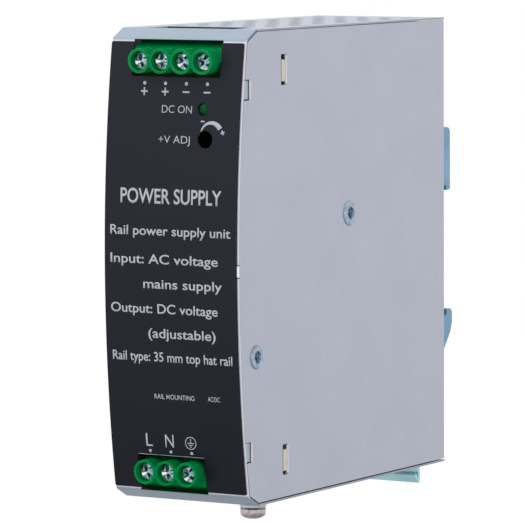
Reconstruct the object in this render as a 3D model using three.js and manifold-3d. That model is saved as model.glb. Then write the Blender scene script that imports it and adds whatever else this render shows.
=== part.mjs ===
// DIN rail power supply: a slim sheet metal case that clips on a 35 mm rail, with its electronics inside.
//
// Millimetres. X runs to the right, Y to the back and Z up, seen from the front.
// The origin is the middle of the rail, on the plane of the rail's front face.
// Pieces are laid out in the case's own frame, whose origin is the middle of the case's bottom rear edge.

import * as THREE from "three";
import { mergeVertices } from "three/addons/utils/BufferGeometryUtils.js";
import Module from "manifold-3d";

const wasm = await Module();
wasm.setup();

// ---- Driving dimensions ----

const CASE_WIDTH = 40.6; // over the side panels; the cover screws add 0.4
const CASE_HEIGHT = 123.5;
const CASE_DEPTH = 110.29; // foremost point of the label to the rear edge
const SHEET = 0.8; // case steel
const GAP = 0.3; // clearance between neighbouring pieces

const BEZEL_BOW = 4.45; // how far the middle of the bezel stands forward of its creases
const CHAMFER_DEPTH = 5; // the sloped edges of the bezel, top and bottom
const CHAMFER_HEIGHT = 2.6;
const BOW_STEPS = 20;
const LABEL_LIFT = 0.1; // clearance under the label
const LABEL_THICKNESS = 0.25;
const LABEL_MARGIN = 1.2; // bare metal between the label and the creases
const LABEL_EDGE = 0.2; // bare metal at the label's right edge
const LABEL_CORNER = 0.5;

const RAIL_HEIGHT = 35;
const RAIL_CENTRE = 58.4; // rail centre above the bottom of the case
const RAIL_SLOT = 1.5; // takes the rail's 1 mm flange
const LATCH_THICKNESS = 1;
const BRACKET_THICKNESS = 1.2;
const EAR_REACH = 3.75; // the ears stand this far behind the rail seat

const PITCH = 6.35; // terminal spacing
const OUTPUT_POLES = 4;
const OUTPUT_CENTRE = 0;
const INPUT_POLES = 3;
const INPUT_CENTRE = -2.2;
const TERMINAL_INSET = 8.2; // screw axis to the top or bottom of the case
const COLLAR_RADIUS = 3.22;
const SCREW_SIDES = 16;

const MAIN_BOARD = 1.6; // thickness
const TERMINAL_BOARD = 2; // thickness
const TERMINAL_BOARD_DEPTH = 17.8; // behind the bezel's creases

const HALF_WIDTH = CASE_WIDTH / 2;
const MID_HEIGHT = CASE_HEIGHT / 2;
const CREASE_Y = -(CASE_DEPTH - BEZEL_BOW - LABEL_LIFT - LABEL_THICKNESS);
const PANEL_INNER = HALF_WIDTH - SHEET; // inner face of a side panel
const INSET = SHEET + GAP; // a panel that stands inside its neighbour's sheet

const LATCH_Y = GAP; // front face of the latch plate
const BRACKET_Y = LATCH_Y + LATCH_THICKNESS + GAP;
const RAIL_SEAT_Y = BRACKET_Y + BRACKET_THICKNESS;

// Distance behind the bezel's creases, as a Y of the case's frame.
const behind = (distance) => CREASE_Y + distance;

// ---- Finishes ----

const finish = (color, roughness, metalness) => () =>
  new THREE.MeshStandardMaterial({ color, roughness, metalness });

const brightZinc = finish(0xaebfc8, 0.35, 0.9);
const greySteel = finish(0xacb0bc, 0.45, 0.6);
const clipZinc = finish(0x82a5be, 0.35, 0.9);
const screwSteel = finish(0xc8ccd0, 0.25, 1);
const tinnedCopper = finish(0xc9c4b4, 0.3, 1);
const blackFilm = finish(0x26262e, 0.5, 0);
const greenPlastic = finish(0x0a9656, 0.4, 0);
const greenBoard = finish(0x1c6b3c, 0.5, 0);
const greenLens = finish(0x1f8a4a, 0.2, 0);
const clearFilm = finish(0xe6e2d2, 0.4, 0);
const ferrite = finish(0x2b2b2e, 0.6, 0.1);
const copperWire = finish(0xb0602c, 0.35, 0.8);
const yellowTape = finish(0xd9b52c, 0.5, 0);
const blueSleeve = finish(0x24407a, 0.35, 0);
const aluminium = finish(0xb9bcc0, 0.4, 0.9);
const blackEpoxy = finish(0x1d1d1f, 0.55, 0);
const whiteCeramic = finish(0xe9e6dc, 0.5, 0);
const bluePlastic = finish(0x2c62b8, 0.4, 0);

// ---- Solids ----

function solid(geometry) {
  const bare = geometry.clone();
  bare.deleteAttribute("normal");
  bare.deleteAttribute("uv");
  const merged = mergeVertices(bare, 1e-4);
  return new wasm.Manifold(
    new wasm.Mesh({
      numProp: 3,
      vertProperties: new Float32Array(merged.attributes.position.array),
      triVerts: new Uint32Array(merged.index.array),
    }),
  );
}

function geometryOf(shape) {
  const mesh = shape.getMesh();
  const geometry = new THREE.BufferGeometry();
  geometry.setAttribute("position", new THREE.BufferAttribute(mesh.vertProperties, 3));
  geometry.setIndex(new THREE.BufferAttribute(mesh.triVerts, 1));
  geometry.computeVertexNormals();
  return geometry;
}

// A box given by its low and high X, Y and Z.
function box([x0, x1], [y0, y1], [z0, z1]) {
  const geometry = new THREE.BoxGeometry(x1 - x0, y1 - y0, z1 - z0);
  geometry.translate((x0 + x1) / 2, (y0 + y1) / 2, (z0 + z1) / 2);
  return solid(geometry);
}

// The interval of the given size around a centre.
const around = (centre, size) => [centre - size / 2, centre + size / 2];

// The interval between two values, whichever is the lower.
const span = (a, b) => [Math.min(a, b), Math.max(a, b)];

// Turns a solid of revolution about local Y so that it lies along another axis.
const TURNS = {
  x: new THREE.Matrix4().makeRotationZ(-Math.PI / 2),
  y: new THREE.Matrix4(),
  z: new THREE.Matrix4().makeRotationX(Math.PI / 2),
};

// A turned piece: its profile lists [radius, distance along the axis], starting and ending on the axis.
function turned(axis, profile, [x, y, z], sides = SCREW_SIDES) {
  const points = profile.map(([radius, along]) => new THREE.Vector2(radius, along));
  const geometry = new THREE.LatheGeometry(points, sides);
  geometry.applyMatrix4(TURNS[axis]);
  geometry.translate(x, y, z);
  const made = solid(geometry);
  if (made.volume() < 0) throw new Error("a turned profile runs the wrong way");
  return made;
}

// A rod along an axis, from one distance to another, through the given point.
function rod(axis, radius, [from, to], point, sides = SCREW_SIDES) {
  const profile = [
    [0, from],
    [radius, from],
    [radius, to],
    [0, to],
  ];
  return turned(axis, profile, point, sides);
}

// A plate cut to an outline of [Y, Z] points, between two X.
function plateAcross(outline, [x0, x1]) {
  const shape = new THREE.Shape(outline.map(([y, z]) => new THREE.Vector2(y, z)));
  const geometry = new THREE.ExtrudeGeometry(shape, { depth: x1 - x0, bevelEnabled: false });
  const toWorld = new THREE.Matrix4().makeBasis(
    new THREE.Vector3(0, 1, 0),
    new THREE.Vector3(0, 0, 1),
    new THREE.Vector3(1, 0, 0),
  );
  geometry.applyMatrix4(toWorld);
  geometry.translate(x0, 0, 0);
  return solid(geometry);
}

// A prism along Y whose section in X and Z is a rectangle with round corners.
function roundedBar([x0, x1], [y0, y1], [z0, z1], radius, steps = 2) {
  const shape = new THREE.Shape();
  shape.absarc(x1 - radius, z1 - radius, radius, 0, Math.PI / 2);
  shape.absarc(x0 + radius, z1 - radius, radius, Math.PI / 2, Math.PI);
  shape.absarc(x0 + radius, z0 + radius, radius, Math.PI, 1.5 * Math.PI);
  shape.absarc(x1 - radius, z0 + radius, radius, 1.5 * Math.PI, 2 * Math.PI);
  const geometry = new THREE.ExtrudeGeometry(shape, {
    depth: y1 - y0,
    bevelEnabled: false,
    curveSegments: steps,
  });
  geometry.rotateX(Math.PI / 2);
  geometry.translate(0, y1, 0);
  return solid(geometry);
}

const joined = (shapes) => shapes.reduce((all, shape) => all.add(shape));
const cut = (shape, tools) => shape.subtract(joined(tools));

const caseGroup = new THREE.Group();
caseGroup.position.set(0, -RAIL_SEAT_Y, -RAIL_CENTRE);

function piece(name, shape, finishOf) {
  const mesh = new THREE.Mesh(geometryOf(shape), finishOf());
  mesh.name = name;
  caseGroup.add(mesh);
}

// ---- The bezel's bowed profile ----

const BOW_HALF = MID_HEIGHT - CHAMFER_HEIGHT;
const BOW_RADIUS = (BOW_HALF ** 2 + BEZEL_BOW ** 2) / (2 * BEZEL_BOW);
const BOW_CENTRE_Y = CREASE_Y - BEZEL_BOW + BOW_RADIUS;
const CHAMFER_LENGTH = Math.hypot(CHAMFER_DEPTH, CHAMFER_HEIGHT);

// Y of the surface that lies a given distance inside the bezel's bowed face.
function bowY(z, inset) {
  return BOW_CENTRE_Y - Math.sqrt((BOW_RADIUS - inset) ** 2 - (z - MID_HEIGHT) ** 2);
}

// Z of the surface that lies a given distance inside the upper chamfer.
function chamferZ(y, inset) {
  const rise = (y - CREASE_Y) * CHAMFER_HEIGHT - inset * CHAMFER_LENGTH;
  return CASE_HEIGHT - CHAMFER_HEIGHT + rise / CHAMFER_DEPTH;
}

// Y at which the surface inside the upper chamfer reaches a height.
function chamferY(z, inset) {
  const rise = z - CASE_HEIGHT + CHAMFER_HEIGHT;
  return CREASE_Y + (rise * CHAMFER_DEPTH + inset * CHAMFER_LENGTH) / CHAMFER_HEIGHT;
}

// Points down the bow, from one height to another.
function bowPoints(inset, top, bottom) {
  return Array.from({ length: BOW_STEPS + 1 }, (_, i) => {
    const z = top + ((bottom - top) * i) / BOW_STEPS;
    return [bowY(z, inset), z];
  });
}

// Height of the crease between the bow and the upper chamfer, at a given distance inside both.
function creaseZ(inset) {
  let z = CASE_HEIGHT - CHAMFER_HEIGHT;
  for (let i = 0; i < 20; i++) z = chamferZ(bowY(z, inset), inset);
  return z;
}

// Upper chamfer, bow and lower chamfer, from top rear to bottom rear.
function frontProfile(inset, rearY) {
  const crease = creaseZ(inset);
  const rearZ = chamferZ(rearY, inset);
  return [
    [rearY, rearZ],
    ...bowPoints(inset, crease, CASE_HEIGHT - crease),
    [rearY, CASE_HEIGHT - rearZ],
  ];
}

// ---- Openings shared by the bezel and the label ----

const blockWidth = (poles) => poles * PITCH + 0.6;
const CUT_OUT_SIDE = 0.55; // clearance beside a terminal block
const CUT_OUT_DEEP = 12.4; // lower edge of the upper cut-out, below the top of the case
const CUT_OUT_SHALLOW = 2.75; // upper edge of the same
const LED_AT = [8.75, 103.1];
const LED_HOLE_RADIUS = 1.8;
const TRIMMER_AT = [9.7, 95.3];
const TRIMMER_HOLE_RADIUS = 2.25;

function frontOpenings() {
  const throughY = [behind(-8), behind(4)];
  const output = around(OUTPUT_CENTRE, blockWidth(OUTPUT_POLES) + 2 * CUT_OUT_SIDE);
  const input = around(INPUT_CENTRE, blockWidth(INPUT_POLES) + 2 * CUT_OUT_SIDE);
  return [
    box(output, throughY, [CASE_HEIGHT - CUT_OUT_DEEP, CASE_HEIGHT - CUT_OUT_SHALLOW]),
    box(input, throughY, [CUT_OUT_SHALLOW, CUT_OUT_DEEP]),
    rod("y", LED_HOLE_RADIUS, throughY, [LED_AT[0], 0, LED_AT[1]]),
    rod("y", TRIMMER_HOLE_RADIUS, throughY, [TRIMMER_AT[0], 0, TRIMMER_AT[1]]),
  ];
}

// ---- Case ----

const FLANGE_DEPTH = 8; // the bezel's side flanges reach this far behind the creases
const FLANGE_ENDS = 6; // distance of a flange's ends from the top and bottom of the case
const NOTCH_DEPTH = 2.7;
const NOTCHES_Z = [
  [105.4, 110.8],
  [11.7, 17.1],
];
const LUG_SET_BACK = 0.55; // the lugs stand this far inside the side panels' outer faces
const MIDDLE_TAB_Z = [59.9, 63.3]; // each side panel reaches into the bezel's edge here
const BOARD_SLOT_DEPTH = [17.4, 20.2]; // behind the creases
const BOARD_SLOTS_Z = [
  [108.6, 116.7],
  [6.6, 14.7],
];
const COVER_SCREWS = [
  { name: "cover_screw_front", y: behind(4.4), z: 38.9, head: 3.05, length: 5 },
  { name: "cover_screw_middle", y: behind(52.9), z: 72.9, head: 3.35, length: 5.5 },
];
const COUNTERSINK = 1.4; // depth of a cover screw's cone
const SHANK_RADIUS = 1.4;
const SCREW_PROUD = 0.4;

function frontBezel() {
  const rear = behind(CHAMFER_DEPTH);
  const wrap = [...frontProfile(0, rear), ...frontProfile(SHEET, rear).reverse()];
  const shell = plateAcross(wrap, [-HALF_WIDTH, HALF_WIDTH]);
  const flangeOutline = [
    [behind(FLANGE_DEPTH), CASE_HEIGHT - FLANGE_ENDS],
    ...bowPoints(SHEET / 2, CASE_HEIGHT - FLANGE_ENDS, FLANGE_ENDS),
    [behind(FLANGE_DEPTH), FLANGE_ENDS],
  ];
  const flangeOuter = PANEL_INNER - GAP;
  const flanges = [-1, 1].map((side) => {
    return plateAcross(flangeOutline, span(side * (flangeOuter - SHEET), side * flangeOuter));
  });
  // Raised lugs on the flanges fill the notches of the side panels.
  const lugs = NOTCHES_Z.flatMap(([low, high]) =>
    [-1, 1].map((side) => {
      const x = span(side * (flangeOuter - SHEET), side * (HALF_WIDTH - LUG_SET_BACK));
      const frontY = bowY((low + high) / 2, SHEET / 2);
      return box(x, [frontY, behind(NOTCH_DEPTH - GAP)], [low + GAP, high - GAP]);
    }),
  );
  const tabRoom = [-1, 1].map((side) => {
    const [low, high] = MIDDLE_TAB_Z;
    const x = span(side * flangeOuter, side * (HALF_WIDTH + SHEET));
    return box(x, [behind(-8), behind(0)], [low - GAP, high + GAP]);
  });
  const front = COVER_SCREWS[0];
  const screwHole = rod("x", SHANK_RADIUS + 2 * GAP, [0, HALF_WIDTH], [0, front.y, front.z]);
  const sheets = joined([shell, ...flanges, ...lugs]);
  piece("front_bezel", cut(sheets, [...frontOpenings(), ...tabRoom, screwHole]), brightZinc);
}

function frontLabel() {
  const top = creaseZ(0) - LABEL_MARGIN;
  const bottom = CASE_HEIGHT - top;
  const film = [
    ...bowPoints(-LABEL_LIFT - LABEL_THICKNESS, top, bottom),
    ...bowPoints(-LABEL_LIFT, top, bottom).reverse(),
  ];
  const width = [-HALF_WIDTH, HALF_WIDTH - LABEL_EDGE];
  const outline = roundedBar(width, [behind(-8), behind(4)], [bottom, top], LABEL_CORNER);
  piece("front_label", cut(plateAcross(film, width).intersect(outline), frontOpenings()), blackFilm);
}

// The outline that both side panels share: it follows the bezel at one sheet and one gap.
const SIDE_REAR = -0.5;
function sideOutline() {
  const top = CASE_HEIGHT - INSET;
  return [
    [SIDE_REAR, top],
    ...frontProfile(INSET, chamferY(top, INSET)),
    [SIDE_REAR, CASE_HEIGHT - top],
  ];
}

function sidePanel(side) {
  const x = span(side * PANEL_INNER, side * HALF_WIDTH);
  const through = span(side * (PANEL_INNER - SHEET), side * (HALF_WIDTH + SHEET));
  const notches = NOTCHES_Z.map((z) => box(through, [behind(-8), behind(NOTCH_DEPTH)], z));
  const slots = BOARD_SLOTS_Z.map((z) => box(through, BOARD_SLOT_DEPTH.map(behind), z));
  const tab = box(x, [bowY(MID_HEIGHT, 0.1), bowY(MID_HEIGHT, INSET) + 1], MIDDLE_TAB_Z);
  return cut(plateAcross(sideOutline(), x).add(tab), [...notches, ...slots]);
}

function rightSideCover() {
  const holes = COVER_SCREWS.map(({ y, z, head }) => {
    const cone = [
      [0, PANEL_INNER - GAP],
      [SHANK_RADIUS + 0.6, PANEL_INNER - GAP],
      [head + 0.3, HALF_WIDTH + 0.2],
      [0, HALF_WIDTH + 0.2],
    ];
    return turned("x", cone, [0, y, z], 20);
  });
  piece("right_side_cover", cut(sidePanel(1), holes), greySteel);
}

const BOSS_RADIUS = 2.5;
const BOSSES = [behind(26), behind(98)].flatMap((y) => [10, 113].map((z) => [y, z]));
const MAIN_BOARD_X = -16.1; // solder side of the main board

function leftSidePanel() {
  const bosses = BOSSES.map(([y, z]) =>
    rod("x", BOSS_RADIUS, [-PANEL_INNER - SHEET / 2, MAIN_BOARD_X - GAP], [0, y, z], 12),
  );
  piece("left_side_panel", joined([sidePanel(-1), ...bosses]), greySteel);
}

// Staggered round vent holes through a panel at a given height.
const VENT_PITCH = 7;
const VENT_RADIUS = 1.95;
const VENT_FIELD = { front: behind(23), rear: -5 };
const VENT_ROW_PITCH = VENT_PITCH * Math.sin(Math.PI / 3);
const VENT_ROWS = Math.floor((VENT_FIELD.rear - VENT_FIELD.front) / VENT_ROW_PITCH);

function ventHoles(z) {
  const holes = [];
  for (let row = 0; row <= VENT_ROWS; row++) {
    const count = row % 2 ? 4 : 5;
    for (let i = 0; i < count; i++) {
      const x = (i - (count - 1) / 2) * VENT_PITCH;
      const y = VENT_FIELD.front + row * VENT_ROW_PITCH;
      holes.push(rod("z", VENT_RADIUS, [z - SHEET, z + SHEET], [x, y, 0], 6));
    }
  }
  return holes;
}

const WIRE_NOTCH_DEPTH = 15.5; // wire openings, behind the creases
const EARTH_SCREW = [15, behind(11)];

function ventPanel(name, z, centre, poles, extraHoles) {
  const sheet = box([-HALF_WIDTH, HALF_WIDTH], [behind(CHAMFER_DEPTH) + GAP, 0], around(z, SHEET));
  const wireNotch = box(
    around(centre, blockWidth(poles) + 2 * CUT_OUT_SIDE),
    [behind(0), behind(WIRE_NOTCH_DEPTH)],
    around(z, 2 * SHEET),
  );
  piece(name, cut(sheet, [wireNotch, ...ventHoles(z), ...extraHoles]), greySteel);
}

function ventPanels() {
  ventPanel("top_vent_panel", CASE_HEIGHT - SHEET / 2, OUTPUT_CENTRE, OUTPUT_POLES, []);
  const earthHole = rod("z", 2, [-SHEET, 2 * SHEET], [...EARTH_SCREW, 0]);
  ventPanel("bottom_vent_panel", SHEET / 2, INPUT_CENTRE, INPUT_POLES, [earthHole]);
}

const REAR_PANEL_Y = [-1.2, -0.2];
const RIVETS = [
  [-13, 88],
  [13, 88],
  [-16.2, 16],
  [16.2, 16],
];
const RIVET_RADIUS = 1.2;

function rearPanel() {
  const plate = box(around(0, 2 * (PANEL_INNER - GAP)), REAR_PANEL_Y, [INSET, CASE_HEIGHT - INSET]);
  const holes = RIVETS.map(([x, z]) => rod("y", RIVET_RADIUS + GAP, [-3, 3], [x, 0, z], 10));
  piece("rear_panel", cut(plate, holes), greySteel);
}

// A cross recess, as two crossed slots along an axis at a screw's outer face.
function crossRecess(axis, [x, y, z], length, width, depth) {
  const size = { x: [depth, 0, 0], y: [0, depth, 0], z: [0, 0, depth] }[axis];
  const slot = (a, b) => {
    const sides = { x: [0, a, b], y: [a, 0, b], z: [a, b, 0] }[axis];
    const full = size.map((value, i) => value + sides[i]);
    return box(around(x, full[0]), around(y, full[1]), around(z, full[2]));
  };
  return slot(length, width).add(slot(width, length));
}

function coverScrews() {
  for (const { name, y, z, head, length } of COVER_SCREWS) {
    const top = HALF_WIDTH + SCREW_PROUD;
    const rim = top - 0.3;
    const profile = [
      [0, rim - COUNTERSINK - length],
      [SHANK_RADIUS, rim - COUNTERSINK - length],
      [SHANK_RADIUS, rim - COUNTERSINK],
      [head, rim],
      [head - 0.5, top],
      [0, top],
    ];
    const body = turned("x", profile, [0, y, z], 20);
    piece(name, cut(body, [crossRecess("x", [top, y, z], 3.4, 0.8, 1.6)]), screwSteel);
  }
}

function earthScrew() {
  const at = [...EARTH_SCREW, 0];
  const washerRadius = 3.5;
  const washer = rod("z", washerRadius, [-1.15, -0.4], at, 20).subtract(rod("z", 2, [-3, 3], at, 20));
  piece("earth_washer", washer, screwSteel);
  const profile = [
    [0, -4.5],
    [1.6, -4.3],
    [2.8, -3.6],
    [3.4, -2.5],
    [3.4, -1.6],
    [1.5, -1.6],
    [1.5, 6],
    [0, 6],
  ];
  const body = turned("z", profile, at, 20);
  piece("earth_screw", cut(body, [crossRecess("z", [...EARTH_SCREW, -4.5], 3.4, 0.8, 2.4)]), screwSteel);
}

// ---- Rail clip ----

const EAR_OUTER = 18.7; // outer faces of the ears, from the middle
const EAR_THICKNESS = 1.2;
const EAR_ROUND = 1.6;
const RAIL_TOP = RAIL_CENTRE + RAIL_HEIGHT / 2;
const RAIL_BOTTOM = RAIL_CENTRE - RAIL_HEIGHT / 2;
const LATCH_TRAVEL = 6;
const SPRING = { bottom: 50, top: 66, radius: 0.9, wire: 0.22, turns: 7 };
const SPRING_Y = (LATCH_Y + RAIL_SEAT_Y) / 2;

const earX = (side) => span(side * (EAR_OUTER - EAR_THICKNESS), side * EAR_OUTER);

// Round corner of an outline in Y and Z: a quarter turn from one angle, in degrees.
function roundCorner(y, z, radius, fromAngle, steps = 4) {
  return Array.from({ length: steps + 1 }, (_, i) => {
    const angle = ((fromAngle + (90 * i) / steps) * Math.PI) / 180;
    return [y + radius * Math.cos(angle), z + radius * Math.sin(angle)];
  });
}

function railBracket() {
  const top = 94;
  const bottom = 12;
  const waist = [23, 47]; // the latch's ears move beside this narrower stretch
  const plateY = [BRACKET_Y, RAIL_SEAT_Y];
  const plates = [
    box(around(0, 2 * EAR_OUTER), plateY, [waist[1], top]),
    box(around(0, 2 * (EAR_OUTER - EAR_THICKNESS - GAP)), plateY, [waist[0] - 1, waist[1] + 1]),
    box(around(0, 2 * EAR_OUTER), plateY, [bottom, waist[0]]),
  ];
  // Feet that stand the plate off the rear panel, so that the latch can slide behind it.
  const footY = [0.1, BRACKET_Y + BRACKET_THICKNESS / 2];
  const feet = [
    box(around(0, 2 * 17), footY, [82, top]),
    ...[-1, 1].map((side) => box(span(side * 13.2, side * EAR_OUTER), footY, [bottom, 20])),
  ];
  const earRear = RAIL_SEAT_Y + EAR_REACH;
  const earTop = 92.9;
  const earTip = RAIL_TOP - 0.55; // the hook reaches below the rail's upper edge
  const slotRear = RAIL_SEAT_Y + RAIL_SLOT;
  const earOutline = [
    [BRACKET_Y, earTop],
    [BRACKET_Y, RAIL_TOP + 0.7],
    [slotRear, RAIL_TOP + 0.7],
    [slotRear, earTip],
    ...roundCorner(earRear - 0.8, earTip + 0.8, 0.8, -90),
    ...roundCorner(earRear - EAR_ROUND, earTop - EAR_ROUND, EAR_ROUND, 0),
  ];
  const ears = [-1, 1].map((side) => plateAcross(earOutline, earX(side)));
  const window = box([-1.6, 1.6], [0, RAIL_SEAT_Y + 1], [SPRING.bottom - 0.2, SPRING.top + 0.5]);
  const holeY = [-3, RAIL_SEAT_Y + 1];
  const holes = RIVETS.map(([x, z]) => rod("y", RIVET_RADIUS + GAP, holeY, [x, 0, z], 10));
  piece("rail_bracket", cut(joined([...plates, ...feet, ...ears]), [window, ...holes]), clipZinc);
}

function railLatch() {
  const plateY = [LATCH_Y, LATCH_Y + LATCH_THICKNESS];
  const tabBottom = -6.8;
  const plate = box([-11.8, 11.8], plateY, [tabBottom + 1, 69]);
  const crossbar = box(around(0, 2 * EAR_OUTER), plateY, [30, 41]);
  const earRear = RAIL_SEAT_Y + EAR_REACH + 1;
  const slotRear = RAIL_SEAT_Y + RAIL_SLOT;
  const earTip = RAIL_BOTTOM + 1.3; // the latch's lip reaches above the rail's lower edge
  const earOutline = [
    [LATCH_Y, RAIL_BOTTOM - 0.4],
    [LATCH_Y, 30],
    [RAIL_SEAT_Y - 0.9, 29.8],
    [RAIL_SEAT_Y + 1.2, 32.4],
    [earRear - 1, 35.6],
    [earRear, 38.2],
    ...roundCorner(earRear - 1.6, earTip - 1.6, 1.6, 0),
    [slotRear, earTip],
    [slotRear, RAIL_BOTTOM - 0.4],
  ];
  const ears = [-1, 1].map((side) => plateAcross(earOutline, earX(side)));
  // The pull tab under the case: the plate turns forward and up into a lip for a screwdriver.
  const tabOutline = [
    [plateY[1], tabBottom + 1.2],
    [plateY[0], tabBottom + 1.2],
    [plateY[0] - 1.1, tabBottom + 2.9],
    [plateY[0] - 1.9, tabBottom + 2.4],
    [plateY[0] - 0.3, tabBottom + 0.2],
    [plateY[0] + 0.4, tabBottom],
    [plateY[1], tabBottom + 0.4],
  ];
  const tab = plateAcross(tabOutline, [-11.8, 11.8]);
  const window = box([-1.6, 1.6], [0, BRACKET_Y], [SPRING.bottom - 0.8, SPRING.top + 0.2]);
  piece("rail_latch", cut(joined([plate, crossbar, ...ears, tab]), [window]), clipZinc);
}

function latchSpring() {
  const { bottom, top, radius, wire, turns } = SPRING;
  class Helix extends THREE.Curve {
    getPoint(t, target = new THREE.Vector3()) {
      const angle = 2 * Math.PI * turns * t;
      const z = bottom + wire + t * (top - bottom - 2 * wire);
      return target.set(radius * Math.cos(angle), SPRING_Y + radius * Math.sin(angle), z);
    }
  }
  const section = new THREE.Shape();
  section.absarc(0, 0, wire, 0, 2 * Math.PI);
  const geometry = new THREE.ExtrudeGeometry(section, {
    steps: turns * 8,
    curveSegments: 3,
    extrudePath: new Helix(),
  });
  piece("latch_spring", solid(geometry), screwSteel);
}

function bracketRivets() {
  RIVETS.forEach(([x, z], i) => {
    const profile = [
      [0, -3],
      [RIVET_RADIUS, -3],
      [RIVET_RADIUS, RAIL_SEAT_Y + 0.2],
      [2.2, RAIL_SEAT_Y + 0.2],
      [1.8, RAIL_SEAT_Y + 0.8],
      [0, RAIL_SEAT_Y + 1],
    ];
    piece("bracket_rivet_" + (i + 1), turned("y", profile, [x, 0, z], 12), screwSteel);
  });
}

// ---- Terminal blocks ----
// Depths are behind the bezel's creases, drops are from the top of the case for the output block
// and from its bottom for the input block, which is the same block upside down.

const COLLAR_FRONT = -4.7;
const BODY_FRONT = -0.4;
const BODY_RECESS = 2; // the body's front is set back beside the collars' inner halves
const HEAD_FRONT = -3.1;
const HEAD_RADIUS = 2.45;
const HEAD_THICKNESS = 1.7;
const SHANK_END = 7.3;
const CLAMP = { front: 6, rear: 13.2, wall: 0.6, side: 0.4, width: 5, from: 4.6, to: 11.4 };
const CLAMP_TRAVEL = 2.7;
const BAR = { front: 7.6, thickness: 0.6, width: 3.6 };
const CAVITY_WIDTH = 5.6;

function terminalBlock(name, poles, centre, zAt) {
  const drops = (a, b) => span(zAt(a), zAt(b));
  const axisZ = zAt(TERMINAL_INSET);
  const poleX = Array.from({ length: poles }, (_, i) => centre + (i - (poles - 1) / 2) * PITCH);
  const bodyOutline = [
    [BODY_RECESS, TERMINAL_INSET],
    [BODY_FRONT, TERMINAL_INSET],
    [BODY_FRONT, 4.9],
    [3.3, 3.1],
    [6, 1.7],
    [TERMINAL_BOARD_DEPTH - GAP, 1.7],
    [TERMINAL_BOARD_DEPTH - GAP, 14.9],
    [BODY_RECESS, 14.9],
  ].map(([depth, drop]) => [behind(depth), zAt(drop)]);
  const body = plateAcross(bodyOutline, around(centre, blockWidth(poles)));
  const collars = poleX.map((x) =>
    rod("y", COLLAR_RADIUS, [behind(COLLAR_FRONT), behind(BODY_RECESS + 0.5)], [x, 0, axisZ], 24),
  );
  const wellY = [behind(-6), behind(HEAD_FRONT + HEAD_THICKNESS + GAP)];
  const hollows = poleX.flatMap((x) => [
    rod("y", HEAD_RADIUS + GAP, wellY, [x, 0, axisZ], 20),
    rod("y", 1.55, [behind(-2), behind(4)], [x, 0, axisZ], 12),
    box(
      around(x, CAVITY_WIDTH),
      [behind(CLAMP.front - CLAMP_TRAVEL - GAP), behind(CLAMP.rear + GAP)],
      drops(CLAMP.from - GAP, 13.6),
    ),
    box(around(x, 4.8), [behind(7.2), behind(12.9)], drops(0, CLAMP.from)),
    box(around(x, BAR.width + 2 * GAP), [behind(7), behind(18)], drops(12.1, 13.6)),
  ]);
  piece(name + "_terminal_housing", cut(joined([body, ...collars]), hollows), greenPlastic);
  poleX.forEach((x, i) => terminalPole(name, i + 1, x, axisZ, drops));
}

// One pole: the screw turns in place, and its thread draws the clamp forward on to the wire.
function terminalPole(name, number, x, axisZ, drops) {
  const headRear = behind(HEAD_FRONT + HEAD_THICKNESS);
  const profile = [
    [0, behind(HEAD_FRONT)],
    [HEAD_RADIUS - 0.3, behind(HEAD_FRONT)],
    [HEAD_RADIUS, behind(HEAD_FRONT + 0.3)],
    [HEAD_RADIUS, headRear],
    [1.25, headRear],
    [1.25, behind(SHANK_END)],
    [0, behind(SHANK_END)],
  ];
  const recess = crossRecess("y", [x, behind(HEAD_FRONT), axisZ], 3.6, 0.9, 2);
  const screw = cut(turned("y", profile, [x, 0, axisZ]), [recess]);
  piece(name + "_screw_" + number, screw, screwSteel);

  const { front, rear, wall, side, width, from, to } = CLAMP;
  const cage = box(around(x, width), [behind(front), behind(rear)], drops(from, to));
  const window = box(
    around(x, width - 2 * side),
    [behind(front + 0.8), behind(rear - wall)],
    drops(from - 1, to + 1),
  );
  const thread = rod("y", 1.5, [behind(front - 1), behind(front + 2)], [x, 0, axisZ], 12);
  piece(name + "_clamp_" + number, cut(cage, [window, thread]), tinnedCopper);

  const upright = box(
    around(x, BAR.width),
    [behind(BAR.front), behind(BAR.front + BAR.thickness)],
    drops(from + 0.3, 13.2),
  );
  const foot = box(
    around(x, BAR.width),
    [behind(BAR.front), behind(TERMINAL_BOARD_DEPTH - GAP)],
    drops(12.5, 13.2),
  );
  piece(name + "_contact_" + number, joined([upright, foot]), tinnedCopper);
}

// ---- Boards and front controls ----

const TAB_SET_BACK = 0.15; // the board's tabs stop this far inside the panels' outer faces

function boards() {
  const boardY = [behind(TERMINAL_BOARD_DEPTH), behind(TERMINAL_BOARD_DEPTH + TERMINAL_BOARD)];
  const plate = box(around(0, 2 * (PANEL_INNER - 2 * GAP)), boardY, [4.5, 119]);
  const tabs = BOARD_SLOTS_Z.map(([low, high]) =>
    box(around(0, 2 * (HALF_WIDTH - TAB_SET_BACK)), boardY, [low + 1, high - 1.5]),
  );
  piece("terminal_board", joined([plate, ...tabs]), greenBoard);

  const mainX = [MAIN_BOARD_X, MAIN_BOARD_X + MAIN_BOARD];
  piece("main_board", box(mainX, [boardY[1] + GAP, -4], [5, 118.5]), greenBoard);

  const film = box([-18.7, -18.4], [boardY[1] + GAP, -3], [4, 119.5]);
  const holes = BOSSES.map(([y, z]) => rod("x", BOSS_RADIUS + GAP, [-20, -17], [0, y, z], 12));
  piece("insulation_sheet", cut(film, holes), clearFilm);
}

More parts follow.
